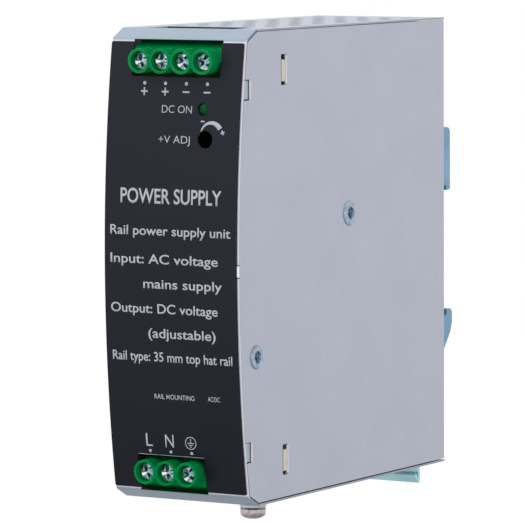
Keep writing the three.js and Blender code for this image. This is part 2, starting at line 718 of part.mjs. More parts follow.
const LED_RADIUS = 1.5;
function statusLed() {
  const [x, z] = LED_AT;
  const tip = -2.4;
  const lens = [
    [0, behind(tip)],
    [0.75, behind(tip + 0.2)],
    [1.3, behind(tip + 0.75)],
    [LED_RADIUS, behind(tip + 1.5)],
    [LED_RADIUS, behind(tip + 4)],
    [1.75, behind(tip + 4)],
    [1.75, behind(tip + 4.8)],
    [0, behind(tip + 4.8)],
  ];
  const body = turned("y", lens, [x, 0, z]);
  const legs = [-0.64, 0.64].map((offset) =>
    box(
      around(x + offset, 0.5),
      [behind(tip + 4.5), behind(TERMINAL_BOARD_DEPTH - GAP)],
      around(z, 0.5),
    ),
  );
  piece("status_led", joined([body, ...legs]), greenLens);
}

function voltageTrimmer() {
  const [x, z] = TRIMMER_AT;
  const seat = 12;
  const housing = box(around(x, 6.6), [behind(seat), behind(TERMINAL_BOARD_DEPTH - GAP)], around(z, 7));
  const socket = rod("y", 2.1, [behind(seat - 1), behind(seat + 1.8)], [x, 0, z]);
  piece("trimmer_body", cut(housing, [socket]), bluePlastic);
  const profile = [
    [0, behind(seat - 2.4)],
    [1.8, behind(seat - 2.4)],
    [1.8, behind(seat + 1.5)],
    [0, behind(seat + 1.5)],
  ];
  const recess = crossRecess("y", [x, behind(seat - 2.4), z], 2.6, 0.6, 2);
  piece("trimmer_rotor", cut(turned("y", profile, [x, 0, z]), [recess]), whiteCeramic);
}

// ---- Power electronics on the main board ----

const ON_BOARD = MAIN_BOARD_X + MAIN_BOARD + GAP;

function ring(outer, inner, [x0, x1], y, z, sides) {
  return rod("x", outer, [x0, x1], [0, y, z], sides).subtract(
    rod("x", inner, [x0 - 1, x1 + 1], [0, y, z], sides),
  );
}

const FUSE = { y: -80, z: [40, 60], radius: 2.6, lift: 0.4 };
const CHOKE = { y: -70, z: 16, outer: 9.5, inner: 4.2, height: 11 };
const X_CAPACITOR = { y: [-56, -38], z: [7, 17], height: 15 };

function inputFilter() {
  const fuseAt = [ON_BOARD + FUSE.radius + FUSE.lift, FUSE.y, 0];
  piece("input_fuse", rod("z", FUSE.radius, FUSE.z, fuseAt, 12), whiteCeramic);
  const { y, z, outer, inner, height } = CHOKE;
  piece("common_mode_choke", ring(outer, inner, [ON_BOARD, ON_BOARD + height], y, z, 16), copperWire);
  const capacitor = box([ON_BOARD, ON_BOARD + X_CAPACITOR.height], X_CAPACITOR.y, X_CAPACITOR.z);
  piece("x_capacitor", capacitor, yellowTape);
}

const BULK_CAPACITORS = { y: [-64, -38], z: 39, radius: 11, height: 29 };
const CAN_SHOULDER = 0.7; // the end of a capacitor's can is this much narrower

function bulkCapacitors() {
  const { radius, height, z } = BULK_CAPACITORS;
  BULK_CAPACITORS.y.forEach((y, i) => {
    const can = [
      [0, ON_BOARD],
      [radius, ON_BOARD],
      [radius, ON_BOARD + height - 1],
      [radius - CAN_SHOULDER, ON_BOARD + height],
      [0, ON_BOARD + height],
    ];
    piece("bulk_capacitor_" + (i + 1), turned("x", can, [0, y, z], 20), blueSleeve);
  });
}

// A transformer core of two E halves, and the winding round its middle limb.
const TRANSFORMER = { y: [-66, -32], z: [56, 86], x: [ON_BOARD + 3, ON_BOARD + 25], limb: 7 };
const COIL_OVERHANG = 4; // the winding stands out of the core on both sides

function transformer() {
  const { x, y, z, limb } = TRANSFORMER;
  const middleY = (y[0] + y[1]) / 2;
  const coreX = [x[0] + COIL_OVERHANG, x[1] - COIL_OVERHANG];
  const windowZ = [z[0] + limb, z[1] - limb];
  const windows = [
    box(x, [y[0] + limb, middleY - limb / 2], windowZ),
    box(x, [middleY + limb / 2, y[1] - limb], windowZ),
  ];
  piece("transformer_core", cut(box(coreX, y, z), windows), ferrite);
  const coilY = [y[0] + limb + GAP, y[1] - limb - GAP];
  const coil = box(x, coilY, [windowZ[0] + GAP, windowZ[1] - GAP]);
  const limbHole = box([coreX[0] - GAP, coreX[1] + GAP], around(middleY, limb + 2 * GAP), z);
  piece("transformer_winding", cut(coil, [limbHole]), yellowTape);
}

const HEAT_SINK_FACE = 18.8; // the input heat sink ends just inside the side cover
const INPUT_HEAT_SINK = { thickness: 4, y: [-72, -20], height: 14 };
const TRANSISTOR = { thickness: 4.5, y: [-31, -21], z: [60, 75] };
const OUTPUT_HEAT_SINK = { y: [-62, -60], z: [89, 114], reach: HEAT_SINK_FACE - 10 };
const RECTIFIER = { x: [ON_BOARD + 5, ON_BOARD + 15], thickness: 4.7, z: [94, 110] };
const LEG = { width: 0.9, thickness: 0.6, drop: 3 };
const LEG_OFFSETS = [-2.54, 0, 2.54];

function heatSinks() {
  const { y, z } = COVER_SCREWS[1];
  const { thickness, height } = INPUT_HEAT_SINK;
  const barX = [HEAT_SINK_FACE - thickness, HEAT_SINK_FACE];
  const bar = box(barX, INPUT_HEAT_SINK.y, around(z, height));
  const hole = rod("x", SHANK_RADIUS + GAP, [0, HALF_WIDTH], [0, y, z], 12);
  piece("input_heat_sink", cut(bar, [hole]), aluminium);
  const transistorX = [barX[0] - GAP - TRANSISTOR.thickness, barX[0] - GAP];
  const transistorFoot = TRANSISTOR.z[0] - LEG.drop;
  const middleY = (TRANSISTOR.y[0] + TRANSISTOR.y[1]) / 2;
  const middleX = (transistorX[0] + transistorX[1]) / 2;
  // Its legs hang from the heat sink bar, then bend across to the board.
  const bentLegs = LEG_OFFSETS.flatMap((offset) => {
    const legY = around(middleY + offset, LEG.width);
    return [
      box(around(middleX, LEG.thickness), legY, [transistorFoot, TRANSISTOR.z[0] + 1]),
      box([ON_BOARD, middleX], legY, [transistorFoot, transistorFoot + LEG.thickness]),
    ];
  });
  const transistor = box(transistorX, TRANSISTOR.y, TRANSISTOR.z);
  piece("switching_transistor", joined([transistor, ...bentLegs]), blackEpoxy);

  const plate = box([ON_BOARD, OUTPUT_HEAT_SINK.reach], OUTPUT_HEAT_SINK.y, OUTPUT_HEAT_SINK.z);
  piece("output_heat_sink", plate, aluminium);
  const rectifierFront = OUTPUT_HEAT_SINK.y[1] + GAP;
  const rectifierY = [rectifierFront, rectifierFront + RECTIFIER.thickness];
  const legY = around(rectifierFront + RECTIFIER.thickness / 2, LEG.thickness);
  const middleZ = (RECTIFIER.z[0] + RECTIFIER.z[1]) / 2;
  const straightLegs = LEG_OFFSETS.map((offset) =>
    box([ON_BOARD, RECTIFIER.x[0] + 1], legY, around(middleZ + 2 * offset, LEG.width)),
  );
  const rectifier = box(RECTIFIER.x, rectifierY, RECTIFIER.z);
  piece("output_rectifier", joined([rectifier, ...straightLegs]), blackEpoxy);
}

const INDUCTOR = { y: -76, z: 86, outer: 8.5, inner: 3.8, height: 9 };
const OUTPUT_CAPACITOR = { y: -48, z: 103, radius: 5, height: 20 };

function outputFilter() {
  const { y, z, outer, inner, height } = INDUCTOR;
  piece("output_inductor", ring(outer, inner, [ON_BOARD, ON_BOARD + height], y, z, 16), copperWire);
  const at = [0, OUTPUT_CAPACITOR.y, OUTPUT_CAPACITOR.z];
  const canX = [ON_BOARD, ON_BOARD + OUTPUT_CAPACITOR.height];
  piece("output_capacitor", rod("x", OUTPUT_CAPACITOR.radius, canX, at), blueSleeve);
}

// ---- Assembly ----

frontBezel();
frontLabel();
rightSideCover();
leftSidePanel();
ventPanels();
rearPanel();
coverScrews();
earthScrew();
railBracket();
railLatch();
latchSpring();
bracketRivets();
terminalBlock("output", OUTPUT_POLES, OUTPUT_CENTRE, (drop) => CASE_HEIGHT - drop);
terminalBlock("input", INPUT_POLES, INPUT_CENTRE, (drop) => drop);
boards();
statusLed();
voltageTrimmer();
inputFilter();
bulkCapacitors();
transformer();
heatSinks();
outputFilter();

const powerSupply = new THREE.Group();
powerSupply.add(caseGroup);

export default powerSupply;
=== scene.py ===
"""Looks of the DIN rail power supply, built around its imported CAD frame.

Shapes are made in millimetres, in the frame of the CAD model, and become metres when they turn into pieces.
X runs to the right, Y to the back and Z up, seen from the front.
"""

import math

import bmesh
import bpy
from mathutils import Matrix, Quaternion, Vector


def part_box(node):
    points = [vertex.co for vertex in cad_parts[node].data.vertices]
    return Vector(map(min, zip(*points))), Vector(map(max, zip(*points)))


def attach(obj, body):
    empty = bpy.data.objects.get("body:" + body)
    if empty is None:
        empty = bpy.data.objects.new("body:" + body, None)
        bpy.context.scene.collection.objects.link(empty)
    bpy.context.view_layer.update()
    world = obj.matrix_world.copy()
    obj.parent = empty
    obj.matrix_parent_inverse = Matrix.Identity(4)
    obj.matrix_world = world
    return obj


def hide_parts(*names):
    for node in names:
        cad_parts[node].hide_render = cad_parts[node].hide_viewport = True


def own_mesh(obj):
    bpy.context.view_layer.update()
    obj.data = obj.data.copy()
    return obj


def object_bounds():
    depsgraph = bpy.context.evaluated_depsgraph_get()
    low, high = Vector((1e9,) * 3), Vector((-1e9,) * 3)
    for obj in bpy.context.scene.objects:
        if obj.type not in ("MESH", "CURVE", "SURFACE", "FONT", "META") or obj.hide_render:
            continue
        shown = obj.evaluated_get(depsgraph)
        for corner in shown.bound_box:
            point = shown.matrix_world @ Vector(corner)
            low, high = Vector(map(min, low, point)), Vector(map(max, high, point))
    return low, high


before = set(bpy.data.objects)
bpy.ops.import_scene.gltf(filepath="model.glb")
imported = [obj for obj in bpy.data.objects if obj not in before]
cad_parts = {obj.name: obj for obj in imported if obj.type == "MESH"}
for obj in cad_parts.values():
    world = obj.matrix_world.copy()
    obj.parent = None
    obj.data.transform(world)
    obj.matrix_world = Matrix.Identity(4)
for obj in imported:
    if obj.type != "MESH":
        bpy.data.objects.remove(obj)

CAD_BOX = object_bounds()
MM = 0.001


def low(node):
    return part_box(node)[0] / MM


def high(node):
    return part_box(node)[1] / MM


def middle(node):
    return (low(node) + high(node)) / 2


def spans(node):
    """The extent of a node along X, Y and Z."""
    return list(zip(low(node), high(node)))


# ---- Driving dimensions, in millimetres ----

SHEET = 0.8
BEZEL_SHEET = 0.5
GAP = 0.3
BEZEL_BOW = 4.45  # how far the middle of the bezel stands forward of its creases
CHAMFER_DEPTH = 5.0
CHAMFER_HEIGHT = 2.6
BOW_STEPS = 96
LABEL_LIFT = 0.03
LABEL_FACE = 0.33  # the label's printed face, in front of the bezel
INK = 0.02
LABEL_MARGIN = 0.8
LABEL_EDGE = 0.42
LABEL_CORNER = 0.5
PITCH = 6.35
TERMINAL_INSET = 8.2
COLLAR_RADIUS = 3.22
HEAD_RADIUS = 2.45
OUTPUT_POLES = 4
INPUT_POLES = 3

HALF_WIDTH = high("right_side_cover").x
TOP = high("top_vent_panel").z
BOTTOM = low("bottom_vent_panel").z
REAR = high("top_vent_panel").y + 0.15
CREASE = low("front_bezel").y + BEZEL_BOW
CASE_HEIGHT = TOP - BOTTOM
MID_HEIGHT = (TOP + BOTTOM) / 2
PANEL_INNER = HALF_WIDTH - SHEET
VENT_SHEET = 0.5
VENT_GAP = {1: (0.14, 0.36), -1: (0.04, 0.04)}  # from a side panel to the top panel and the bottom panel


def behind(distance):
    """Y at a distance behind the bezel's creases."""
    return CREASE + distance


def above(distance):
    """Z at a distance above the bottom of the case."""
    return BOTTOM + distance


def below(distance):
    """Z at a distance below the top of the case."""
    return TOP - distance


def both(place, distances):
    """A span, from a pair of distances and one of the functions above."""
    return (place(distances[0]), place(distances[1]))


def around(centre, size):
    return (centre - size / 2, centre + size / 2)


# ---- The bezel's bowed profile ----

BOW_HALF = CASE_HEIGHT / 2 - CHAMFER_HEIGHT
BOW_RADIUS = (BOW_HALF**2 + BEZEL_BOW**2) / (2 * BEZEL_BOW)
BOW_CENTRE = CREASE - BEZEL_BOW + BOW_RADIUS
CHAMFER_LENGTH = math.hypot(CHAMFER_DEPTH, CHAMFER_HEIGHT)


def bow_y(z, inset):
    """Y of the surface that lies a given distance inside the bezel's bowed face."""
    return BOW_CENTRE - math.sqrt((BOW_RADIUS - inset) ** 2 - (z - MID_HEIGHT) ** 2)


def chamfer_z(y, inset):
    """Z of the surface that lies a given distance inside the upper chamfer."""
    return TOP - CHAMFER_HEIGHT + ((y - CREASE) * CHAMFER_HEIGHT - inset * CHAMFER_LENGTH) / CHAMFER_DEPTH


def chamfer_y(z, inset):
    """Y at which the surface inside the upper chamfer reaches a height."""
    return CREASE + ((z - TOP + CHAMFER_HEIGHT) * CHAMFER_DEPTH + inset * CHAMFER_LENGTH) / CHAMFER_HEIGHT


def crease_z(inset):
    """Height of the upper crease, at a given distance inside both of its faces."""
    z = TOP - CHAMFER_HEIGHT
    for _ in range(20):
        z = chamfer_z(bow_y(z, inset), inset)
    return z


def bow_points(inset, top, bottom, steps=BOW_STEPS):
    heights = [top + (bottom - top) * i / steps for i in range(steps + 1)]
    return [(bow_y(z, inset), z) for z in heights]


def mirrored_z(z):
    return TOP + BOTTOM - z


def front_profile(inset, rear):
    """Upper chamfer, bow and lower chamfer, from top rear to bottom rear."""
    crease, rear_z = crease_z(inset), chamfer_z(rear, inset)
    return [(rear, rear_z), *bow_points(inset, crease, mirrored_z(crease)), (rear, mirrored_z(rear_z))]


# ---- Solids ----


def put(axis, a, b, along):
    """A point, from its place in a section and its distance along the section's axis."""
    return {"x": (along, a, b), "y": (a, along, b), "z": (a, b, along)}[axis]


def merged(meshes, weld=0.0, slivers=False, outward=False):
    """Several meshes in one, with near points welded, slivers removed or its faces turned outward."""
    shape = bmesh.new()
    for mesh in meshes:
        shape.from_mesh(mesh)
    if weld:
        bmesh.ops.remove_doubles(shape, verts=shape.verts, dist=weld)
    if slivers:
        bmesh.ops.dissolve_degenerate(shape, edges=shape.edges, dist=weld)
    if outward:
        bmesh.ops.recalc_face_normals(shape, faces=shape.faces)
    made = bpy.data.meshes.new("solid")
    shape.to_mesh(made)
    shape.free()
    return made


def solid(points, faces):
    mesh = bpy.data.meshes.new("solid")
    mesh.from_pydata([tuple(p) for p in points], [], [tuple(f) for f in faces])
    return merged([mesh], outward=True)


def prism(axis, outline, span, far=None):
    """An outline extruded along an axis; its far end may have an outline of its own."""
    count = len(outline)
    far = far or outline
    points = [put(axis, a, b, span[0]) for a, b in outline] + [put(axis, a, b, span[1]) for a, b in far]
    ends = [range(count), range(count, 2 * count)]
    sides = [(i, (i + 1) % count, count + (i + 1) % count, count + i) for i in range(count)]
    return solid(points, [*ends, *sides])


def block(x, y, z):
    return prism("z", [(x[0], y[0]), (x[1], y[0]), (x[1], y[1]), (x[0], y[1])], z)


def lathe(axis, profile, at=(0, 0, 0), sides=48):
    """A solid turned about a line through at, from a profile of (radius, place along the axis).

    The profile runs from axis to axis, or is a closed ring.
    """
    centre = list(at)
    centre["xyz".index(axis)] = 0
    rings, points = [], []
    for radius, along in profile:
        count = sides if radius > 1e-6 else 1
        rings.append(range(len(points), len(points) + count))
        for i in range(count):
            angle = 2 * math.pi * i / sides
            spot = put(axis, radius * math.cos(angle), radius * math.sin(angle), along)
            points.append([p + q for p, q in zip(spot, centre)])
    pairs = list(zip(rings, rings[1:]))
    if profile[0][0] > 1e-6:
        pairs.append((rings[-1], rings[0]))
    faces = []
    for near, far in pairs:
        for i in range(sides):
            j = (i + 1) % sides
            corners = [near[i % len(near)], near[j % len(near)], far[j % len(far)], far[i % len(far)]]
            face = list(dict.fromkeys(corners))
            if len(face) > 2:
                faces.append(face)
    return solid(points, faces)


def rod(axis, radius, span, at, sides=48):
    return lathe(axis, [(0, span[0]), (radius, span[0]), (radius, span[1]), (0, span[1])], at, sides)


def wire_through(sections, radius, sides, closed=False):
    """A round wire through sections, each a middle with two directions across the wire."""
    count, points, faces = len(sections), [], []
    for centre, across, up in sections:
        for k in range(sides):
            turn = 2 * math.pi * k / sides
            points.append(centre + radius * (math.cos(turn) * across + math.sin(turn) * up))
    for i in range(count if closed else count - 1):
        near, far = i * sides, (i + 1) % count * sides
        faces += [(near + k, near + (k + 1) % sides, far + (k + 1) % sides, far + k) for k in range(sides)]
    if not closed:
        faces += [range(sides), range(near + sides, near + 2 * sides)]
    return solid(points, faces)


def arc(centre, radius, start, end, steps=12):
    """Points along an arc, from one angle to another, in degrees."""
    angles = [math.radians(start + (end - start) * i / steps) for i in range(steps + 1)]
    return [(centre[0] + radius * math.cos(a), centre[1] + radius * math.sin(a)) for a in angles]


def rounded(outline, radii, steps=6):
    """An outline with some corners turned into arcs: radii maps a corner's index to its radius."""
    made = []
    for i, point in enumerate(outline):
        radius = radii.get(i, 0)
        if not radius:
            made.append(tuple(point))
            continue
        corner = Vector(point)
        before = (Vector(outline[i - 1]) - corner).normalized()
        after = (Vector(outline[(i + 1) % len(outline)]) - corner).normalized()
        half = before.angle(after) / 2
        reach = radius / math.tan(half)
        centre = corner + (before + after).normalized() * radius / math.sin(half)
        start, end = corner + before * reach - centre, corner + after * reach - centre
        turn = start.angle_signed(end)
        for k in range(steps + 1):
            spoke = Matrix.Rotation(-turn * k / steps, 2) @ start
            made.append(tuple(centre + spoke))
    return made


def rounded_rectangle(x, z, radius, steps=6):
    outline = [(x[0], z[0]), (x[1], z[0]), (x[1], z[1]), (x[0], z[1])]
    return rounded(outline, dict.fromkeys(range(4), radius), steps)


def in_scene(name, data):
    obj = bpy.data.objects.new(name, data)
    bpy.context.scene.collection.objects.link(obj)
    return obj


def evaluated(obj):
    """The mesh that an object has after its modifiers; the object itself is removed."""
    depsgraph = bpy.context.evaluated_depsgraph_get()
    mesh = bpy.data.meshes.new_from_object(obj.evaluated_get(depsgraph))
    bpy.data.objects.remove(obj)
    return mesh


def boolean(operation, mesh, tools):
    base, *others = [in_scene("shape", m) for m in [mesh, *tools]]
    for other in others:
        modifier = base.modifiers.new(operation, "BOOLEAN")
        modifier.operation = operation
        modifier.solver = "EXACT"
        modifier.object = other
    made = evaluated(base)
    for other in others:
        bpy.data.objects.remove(other)
    return merged([made], 0.001, slivers=True)


def joined(first, *others):
    return boolean("UNION", first, others)


def cut(mesh, *tools):
    return boolean("DIFFERENCE", mesh, tools)


# ---- Materials ----


def srgb(red, green, blue):
    """A colour from its 0 to 255 values, as linear light."""
    def linear(value):
        share = value / 255
        return share / 12.92 if share <= 0.04045 else ((share + 0.055) / 1.055) ** 2.4
    return (linear(red), linear(green), linear(blue), 1.0)


class Shader:
    """A Principled material with procedural inputs, in object coordinates."""

    def __init__(self, name, **values):
        self.material = bpy.data.materials.new(name)
        self.material.use_nodes = True
        self.tree = self.material.node_tree
        self.surface = self.tree.nodes["Principled BSDF"]
        self.place = self.tree.nodes.new("ShaderNodeTexCoord").outputs["Object"]
        for socket, value in values.items():
            self.fill(self.surface, socket, value)

    def fill(self, node, socket, value):
        """An input of a node, from a value or from another node's output."""
        socket = node.inputs[socket.replace("_", " ") if isinstance(socket, str) else socket]
        if isinstance(value, bpy.types.NodeSocket):
            self.tree.links.new(value, socket)
        else:
            socket.default_value = value

    def node(self, kind, **values):
        node = self.tree.nodes.new("ShaderNode" + kind)
        for socket, value in values.items():
            self.fill(node, socket, value)
        return node

    def noise(self, size, stretch=(1, 1, 1), detail=2.0, distortion=0.0):
        """Noise with features of a size in millimetres, longer along the axes whose stretch is over 1."""
        scale = [1 / (size * MM * s) for s in stretch]
        place = self.node("Mapping", Vector=self.place, Scale=scale).outputs["Vector"]
        texture = self.node("TexNoise", Vector=place, Scale=1.0, Detail=detail, Distortion=distortion)
        return texture.outputs["Fac"]

    def between(self, share, lowest, highest, start=0.3, end=0.7):
        """A value that goes from lowest to highest as share goes from start to end."""
        limits = {"From_Min": start, "From_Max": end, "To_Min": lowest, "To_Max": highest}
        return self.node("MapRange", Value=share, **limits).outputs["Result"]

    def ramp(self, axis, start, end):
        """A share that goes from 0 to 1 between two places along an axis, in millimetres."""
        place = self.node("SeparateXYZ", Vector=self.place).outputs[axis]
        return self.between(place, 0, 1, start * MM, end * MM)

    def mix(self, share, first, second):
        """A colour between two, each a colour or another output."""
        node = self.node("Mix", Factor=share)
        node.data_type = "RGBA"
        for socket, colour in ((6, first), (7, second)):
            self.fill(node, socket, colour)
        return node.outputs[2]

    def tone(self, texture, dull, bright):
        """A colour that a texture moves between two, each in 0 to 255 values."""
        return self.mix(self.between(texture, 0, 1), srgb(*dull), srgb(*bright))

    def graded(self, texture, share, first, last):
        """A tone that goes from one pair of colours to another as share goes from 0 to 1."""
        return self.mix(share, self.tone(texture, *first), self.tone(texture, *last))

    def colour(self, output):
        self.fill(self.surface, "Base Color", output)

    def finish(self, texture, smooth, rough, relief=0.0):
        """Gives the material, once its roughness and its relief in millimetres follow a texture."""
        self.fill(self.surface, "Roughness", self.between(texture, smooth, rough))
        if relief:
            bump = self.node("Bump", Strength=1.0, Distance=relief * MM, Height=texture)
            self.fill(self.surface, "Normal", bump.outputs["Normal"])
        return self.material


def sheet_metal(name, bright, dull, rough, metallic):
    """Rolled or plated steel: cloudy tone, fine grain along the rolling direction and faint streaks."""
    shader = Shader(name, Metallic=metallic)
    clouds = shader.noise(18, detail=4)
    streaks = shader.noise(0.35, (1, 1, 12))
    fade = tuple(0.97 * c for c in srgb(*bright)[:3]) + (1.0,)
    shader.colour(shader.mix(shader.between(streaks, 0, 0.5), shader.tone(clouds, dull, bright), fade))
    return shader.finish(streaks, rough - 0.05, rough + 0.06, 0.004)


def small_metal(name, bright, dull, rough, size=1.2):
    """Plating on a small turned or pressed piece, with patches of a size."""
    shader = Shader(name, Metallic=1.0)
    shader.colour(shader.tone(shader.noise(size, detail=4), dull, bright))
    return shader.finish(shader.noise(0.12, (1, 1, 5)), rough - 0.06, rough + 0.1, 0.003)


def plastic(name, bright, dull, rough, grain=0.12, relief=0.004, **values):
    """Moulded plastic: faint flow marks and a fine spark-eroded grain."""
    shader = Shader(name, **values)
    shader.colour(shader.tone(shader.noise(6, detail=3, distortion=0.4), dull, bright))
    return shader.finish(shader.noise(grain), rough - 0.05, rough + 0.07, relief)


def grained(name, dull, bright, gloss, relief, size, stretch=(1, 1, 1), detail=2.0, **values):
    """A finish whose tone, gloss and relief follow one fine texture."""
    shader = Shader(name, **values)
    texture = shader.noise(size, stretch, detail)
    shader.colour(shader.tone(texture, dull, bright))
    return shader.finish(texture, *gloss, relief)


def bezel_margin():
    """The bezel's cut sides: pale along the bow, a painted highlight; dark along both chamfers, painted
    shade.
    """
    shader = Shader("bezel_edge_light_and_shade", Metallic=0.6)
    clouds = shader.noise(6, detail=3)
    upper, lower = crease_z(0), mirrored_z(crease_z(0))
    # painted shade of the seam along the chamfers
    dark = srgb(128, 138, 152)
    # painted highlight along the bow
    pale = shader.tone(clouds, (204, 205, 215), (214, 215, 224))
    bow = shader.mix(shader.ramp("Z", upper - 0.3, upper + 0.2), pale, dark)
    shader.colour(shader.mix(shader.ramp("Z", lower + 0.3, lower - 0.2), bow, dark))
    return shader.finish(clouds, 0.4, 0.5, 0.003)


def sheared_edge_light_and_shade():
    """A punched edge of the side panels: burnish and painted highlight at the outer face, tear and painted
    shade further in.
    """
    shader = Shader("sheared_edge_light_and_shade", Metallic=0.0)
    tear = shader.noise(0.3, (1, 1, 3))
    outward = shader.ramp("X", HALF_WIDTH - 0.56, HALF_WIDTH - 0.4)
    # painted shade on the inner zone and painted highlight on the outer zone, over the real tear and burnish
    torn_and_shaded, burnished_and_lit = ((66, 70, 78), (86, 90, 98)), ((240, 241, 245), (252, 252, 253))
    shader.colour(shader.graded(tear, outward, torn_and_shaded, burnished_and_lit))
    return shader.finish(tear, 0.35, 0.46, 0.004)


def label_film():
    """Matt black overlay with a fine screened texture, and painted shade: darker towards its foot, lighter at
    its head.
    """
    shader = Shader("black_film", Specular_IOR_Level=0.16)
    # painted shade, darkening the film from its head down to its foot
    upward = shader.ramp("Z", BOTTOM, TOP)
    foot, head = ((15, 16, 28), (18, 19, 31)), ((30, 30, 42), (34, 34, 46))
    shader.colour(shader.graded(shader.noise(30, detail=3), upward, foot, head))
    return shader.finish(shader.noise(0.16), 0.42, 0.55, 0.006)


def ink():
    """Screen-printed ink, a little thin in places."""
    shader = Shader("white_ink", Specular_IOR_Level=0.3)
    thin = shader.noise(0.3)
    shader.colour(shader.mix(shader.between(thin, 0, 1, 0.2, 0.6), srgb(166, 168, 177), srgb(190, 192, 200)))
    return shader.finish(thin, 0.5, 0.62)


def clip_plate():
    """Blue passivation on zinc, greener on the pull tab under the case and paler there, a painted highlight
    against the shaded floor it reflects.
    """
    shader = Shader("clip_zinc", Metallic=0.4)
    # painted light: paler below the case, offsetting the shaded floor reflected there
    downward = shader.ramp("Z", BOTTOM + 1, BOTTOM - 2)
    plate, tab = ((104, 146, 176), (120, 162, 190)), ((160, 210, 220), (194, 238, 242))
    shader.colour(shader.graded(shader.noise(9, detail=4), downward, plate, tab))
    return shader.finish(shader.noise(0.3, (12, 1, 1)), 0.29, 0.4, 0.004)


def terminal_plastic():
    """Glossy green moulding with painted shade: darker in its set-back parts, between and behind the collars.
    """
    shader = Shader("green_plastic", Specular_IOR_Level=0.0)
    # painted shade, deepening with distance behind the front of the collars
    inward = shader.ramp("Y", behind(-0.6), behind(2))
    front, back = ((1, 124, 64), (2, 138, 72)), ((0, 72, 38), (0, 84, 44))
    shader.colour(shader.graded(shader.noise(6, detail=3, distortion=0.4), inward, front, back))
    return shader.finish(shader.noise(0.12), 0.36, 0.48, 0.004)


SHEET_METALS = {  # bright and dull tone, roughness and metallic share
    "bright_zinc": ((169, 183, 197), (158, 173, 189), 0.34, 0.9),
    "grey_steel": ((184, 188, 200), (179, 183, 196), 0.5, 0.75),
    "vent_steel": ((192, 196, 208), (180, 185, 198), 0.5, 0.6),
    # painted shade: a darker copy of vent_steel for the sheets' side edges
    "vent_side": ((164, 168, 180), (150, 154, 166), 0.5, 0.6),
    # painted shade, for faces seen only through gaps and seams
    "dark_zinc": ((66, 72, 82), (48, 53, 62), 0.5, 0.6),
    # bare cut metal, made brighter as a painted highlight on the rounded edges
    "cut_edge": ((226, 230, 238), (205, 210, 220), 0.3, 0.9),
    "aluminium": ((208, 211, 216), (192, 196, 202), 0.38, 0.9),
}
SMALL_METALS = {  # bright and dull tone, roughness and the size of the patches
    "glint": ((250, 252, 253), (226, 240, 246), 0.3),
    "screw_steel": ((224, 226, 230), (196, 202, 210), 0.2),
    # patches run from dark teal to near white: painted glints on the terminal screw heads
    "screw_head": ((196, 216, 218), (58, 104, 120), 0.22, 0.7),
    "worn_zinc": ((176, 188, 202), (128, 148, 168), 0.3, 1.0),
    "nickel": ((204, 190, 190), (150, 140, 142), 0.18, 1.4),
    "washer_steel": ((186, 194, 202), (156, 164, 172), 0.28),
    "tinned_copper": ((214, 208, 192), (190, 184, 168), 0.3),
    # painted shade: dark teal for the cross recesses of the terminal screws
    "recess": ((128, 172, 180), (22, 56, 70), 0.3, 0.5),
    # painted shade for the bowl and cross of the cover screws
    "soft_recess": ((132, 160, 180), (62, 88, 116), 0.3, 0.6),
}
PLASTICS = {  # bright and dull tone, roughness, the size of the grain and its relief
    "clear_film": ((236, 232, 214), (222, 217, 198), 0.35),
    "ferrite": ((52, 52, 56), (40, 40, 44), 0.6, 0.3, 0.02),
    "yellow_tape": ((226, 190, 52), (212, 172, 40), 0.4, 1.5, 0.02),
    "stripe": ((206, 208, 210), (192, 195, 198), 0.35),
    "blue_sleeve": ((36, 64, 122), (30, 54, 106), 0.3),
    "black_epoxy": ((38, 38, 41), (30, 30, 33), 0.55, 0.2, 0.01),
    "white_ceramic": ((236, 232, 222), (224, 219, 206), 0.45),
    "blue_plastic": ((44, 98, 184), (38, 86, 168), 0.4),
}
MATERIALS = {
    "bezel_edge_light_and_shade": bezel_margin(),
    "sheared_edge_light_and_shade": sheared_edge_light_and_shade(),
    "clip_zinc": clip_plate(),
    "black_film": label_film(),
    "ink": ink(),
    "green_plastic": terminal_plastic(),
    # painted highlight on the rounded edges of the terminal mouldings
    "green_rim_highlight": plastic("green_rim_highlight", (100, 198, 150), (78, 180, 130), 0.4, Specular_IOR_Level=0.1),
    "green_board": grained("board", (18, 84, 44), (30, 110, 60), (0.35, 0.5), 0.01, 0.6),
    "board_edge": grained("board_edge", (192, 181, 168), (216, 206, 196), (0.6, 0.75), 0.02, 0.25, (1, 1, 6)),
    "green_lens": grained(
        "green_lens", (0, 50, 24), (4, 84, 42), (0.12, 0.2), 0, 0.8, IOR=1.5, Specular_IOR_Level=0.12
    ),
    "copper_wire": grained(
        "copper_wire", (150, 78, 36), (196, 112, 58), (0.25, 0.4), 0.1, 0.8, (1, 6, 6), 1, Metallic=0.6
    ),
}
for make, table in ((sheet_metal, SHEET_METALS), (small_metal, SMALL_METALS), (plastic, PLASTICS)):
    MATERIALS.update({name: make(name, *values) for name, values in table.items()})


# ---- Pieces ----


def rounded_edges(obj, width, segments=2, angle=32, material=-1):
    bevel = obj.modifiers.new("rounded_edges", "BEVEL")
    bevel.width = width * MM
    bevel.segments = segments
    bevel.limit_method = "ANGLE"
    bevel.angle_limit = math.radians(angle)
    bevel.use_clamp_overlap = True
    bevel.harden_normals = True
    bevel.miter_outer = "MITER_ARC"
    bevel.material = material


def piece(name, mesh, finish, node=None, slot=None, body="case", bevel=0.05, segments=2, edge=None,
          others=()):
    """A visible piece from a solid in millimetres, which may replace a CAD node.

    slot is not used. edge is the finish of its rounded edges; others
    lists (finish, test) for faces with a finish of their own, and a test takes a face's middle and normal.
    """
    finishes = [finish, edge or finish]
    for other, test in others:
        finishes.append(other)
        for face in mesh.polygons:
            if test(face.center, face.normal):
                face.material_index = len(finishes) - 1
    mesh.transform(Matrix.Scale(MM, 4))
    mesh.name = name
    obj = in_scene(name, mesh)
    for key in finishes:
        mesh.materials.append(MATERIALS[key])
    mesh.polygons.foreach_set("use_smooth", [True] * len(mesh.polygons))
    if bevel:
        rounded_edges(obj, bevel, segments, material=1 if edge else -1)
    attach(obj, body)
    if node:
        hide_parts(node)
    return obj


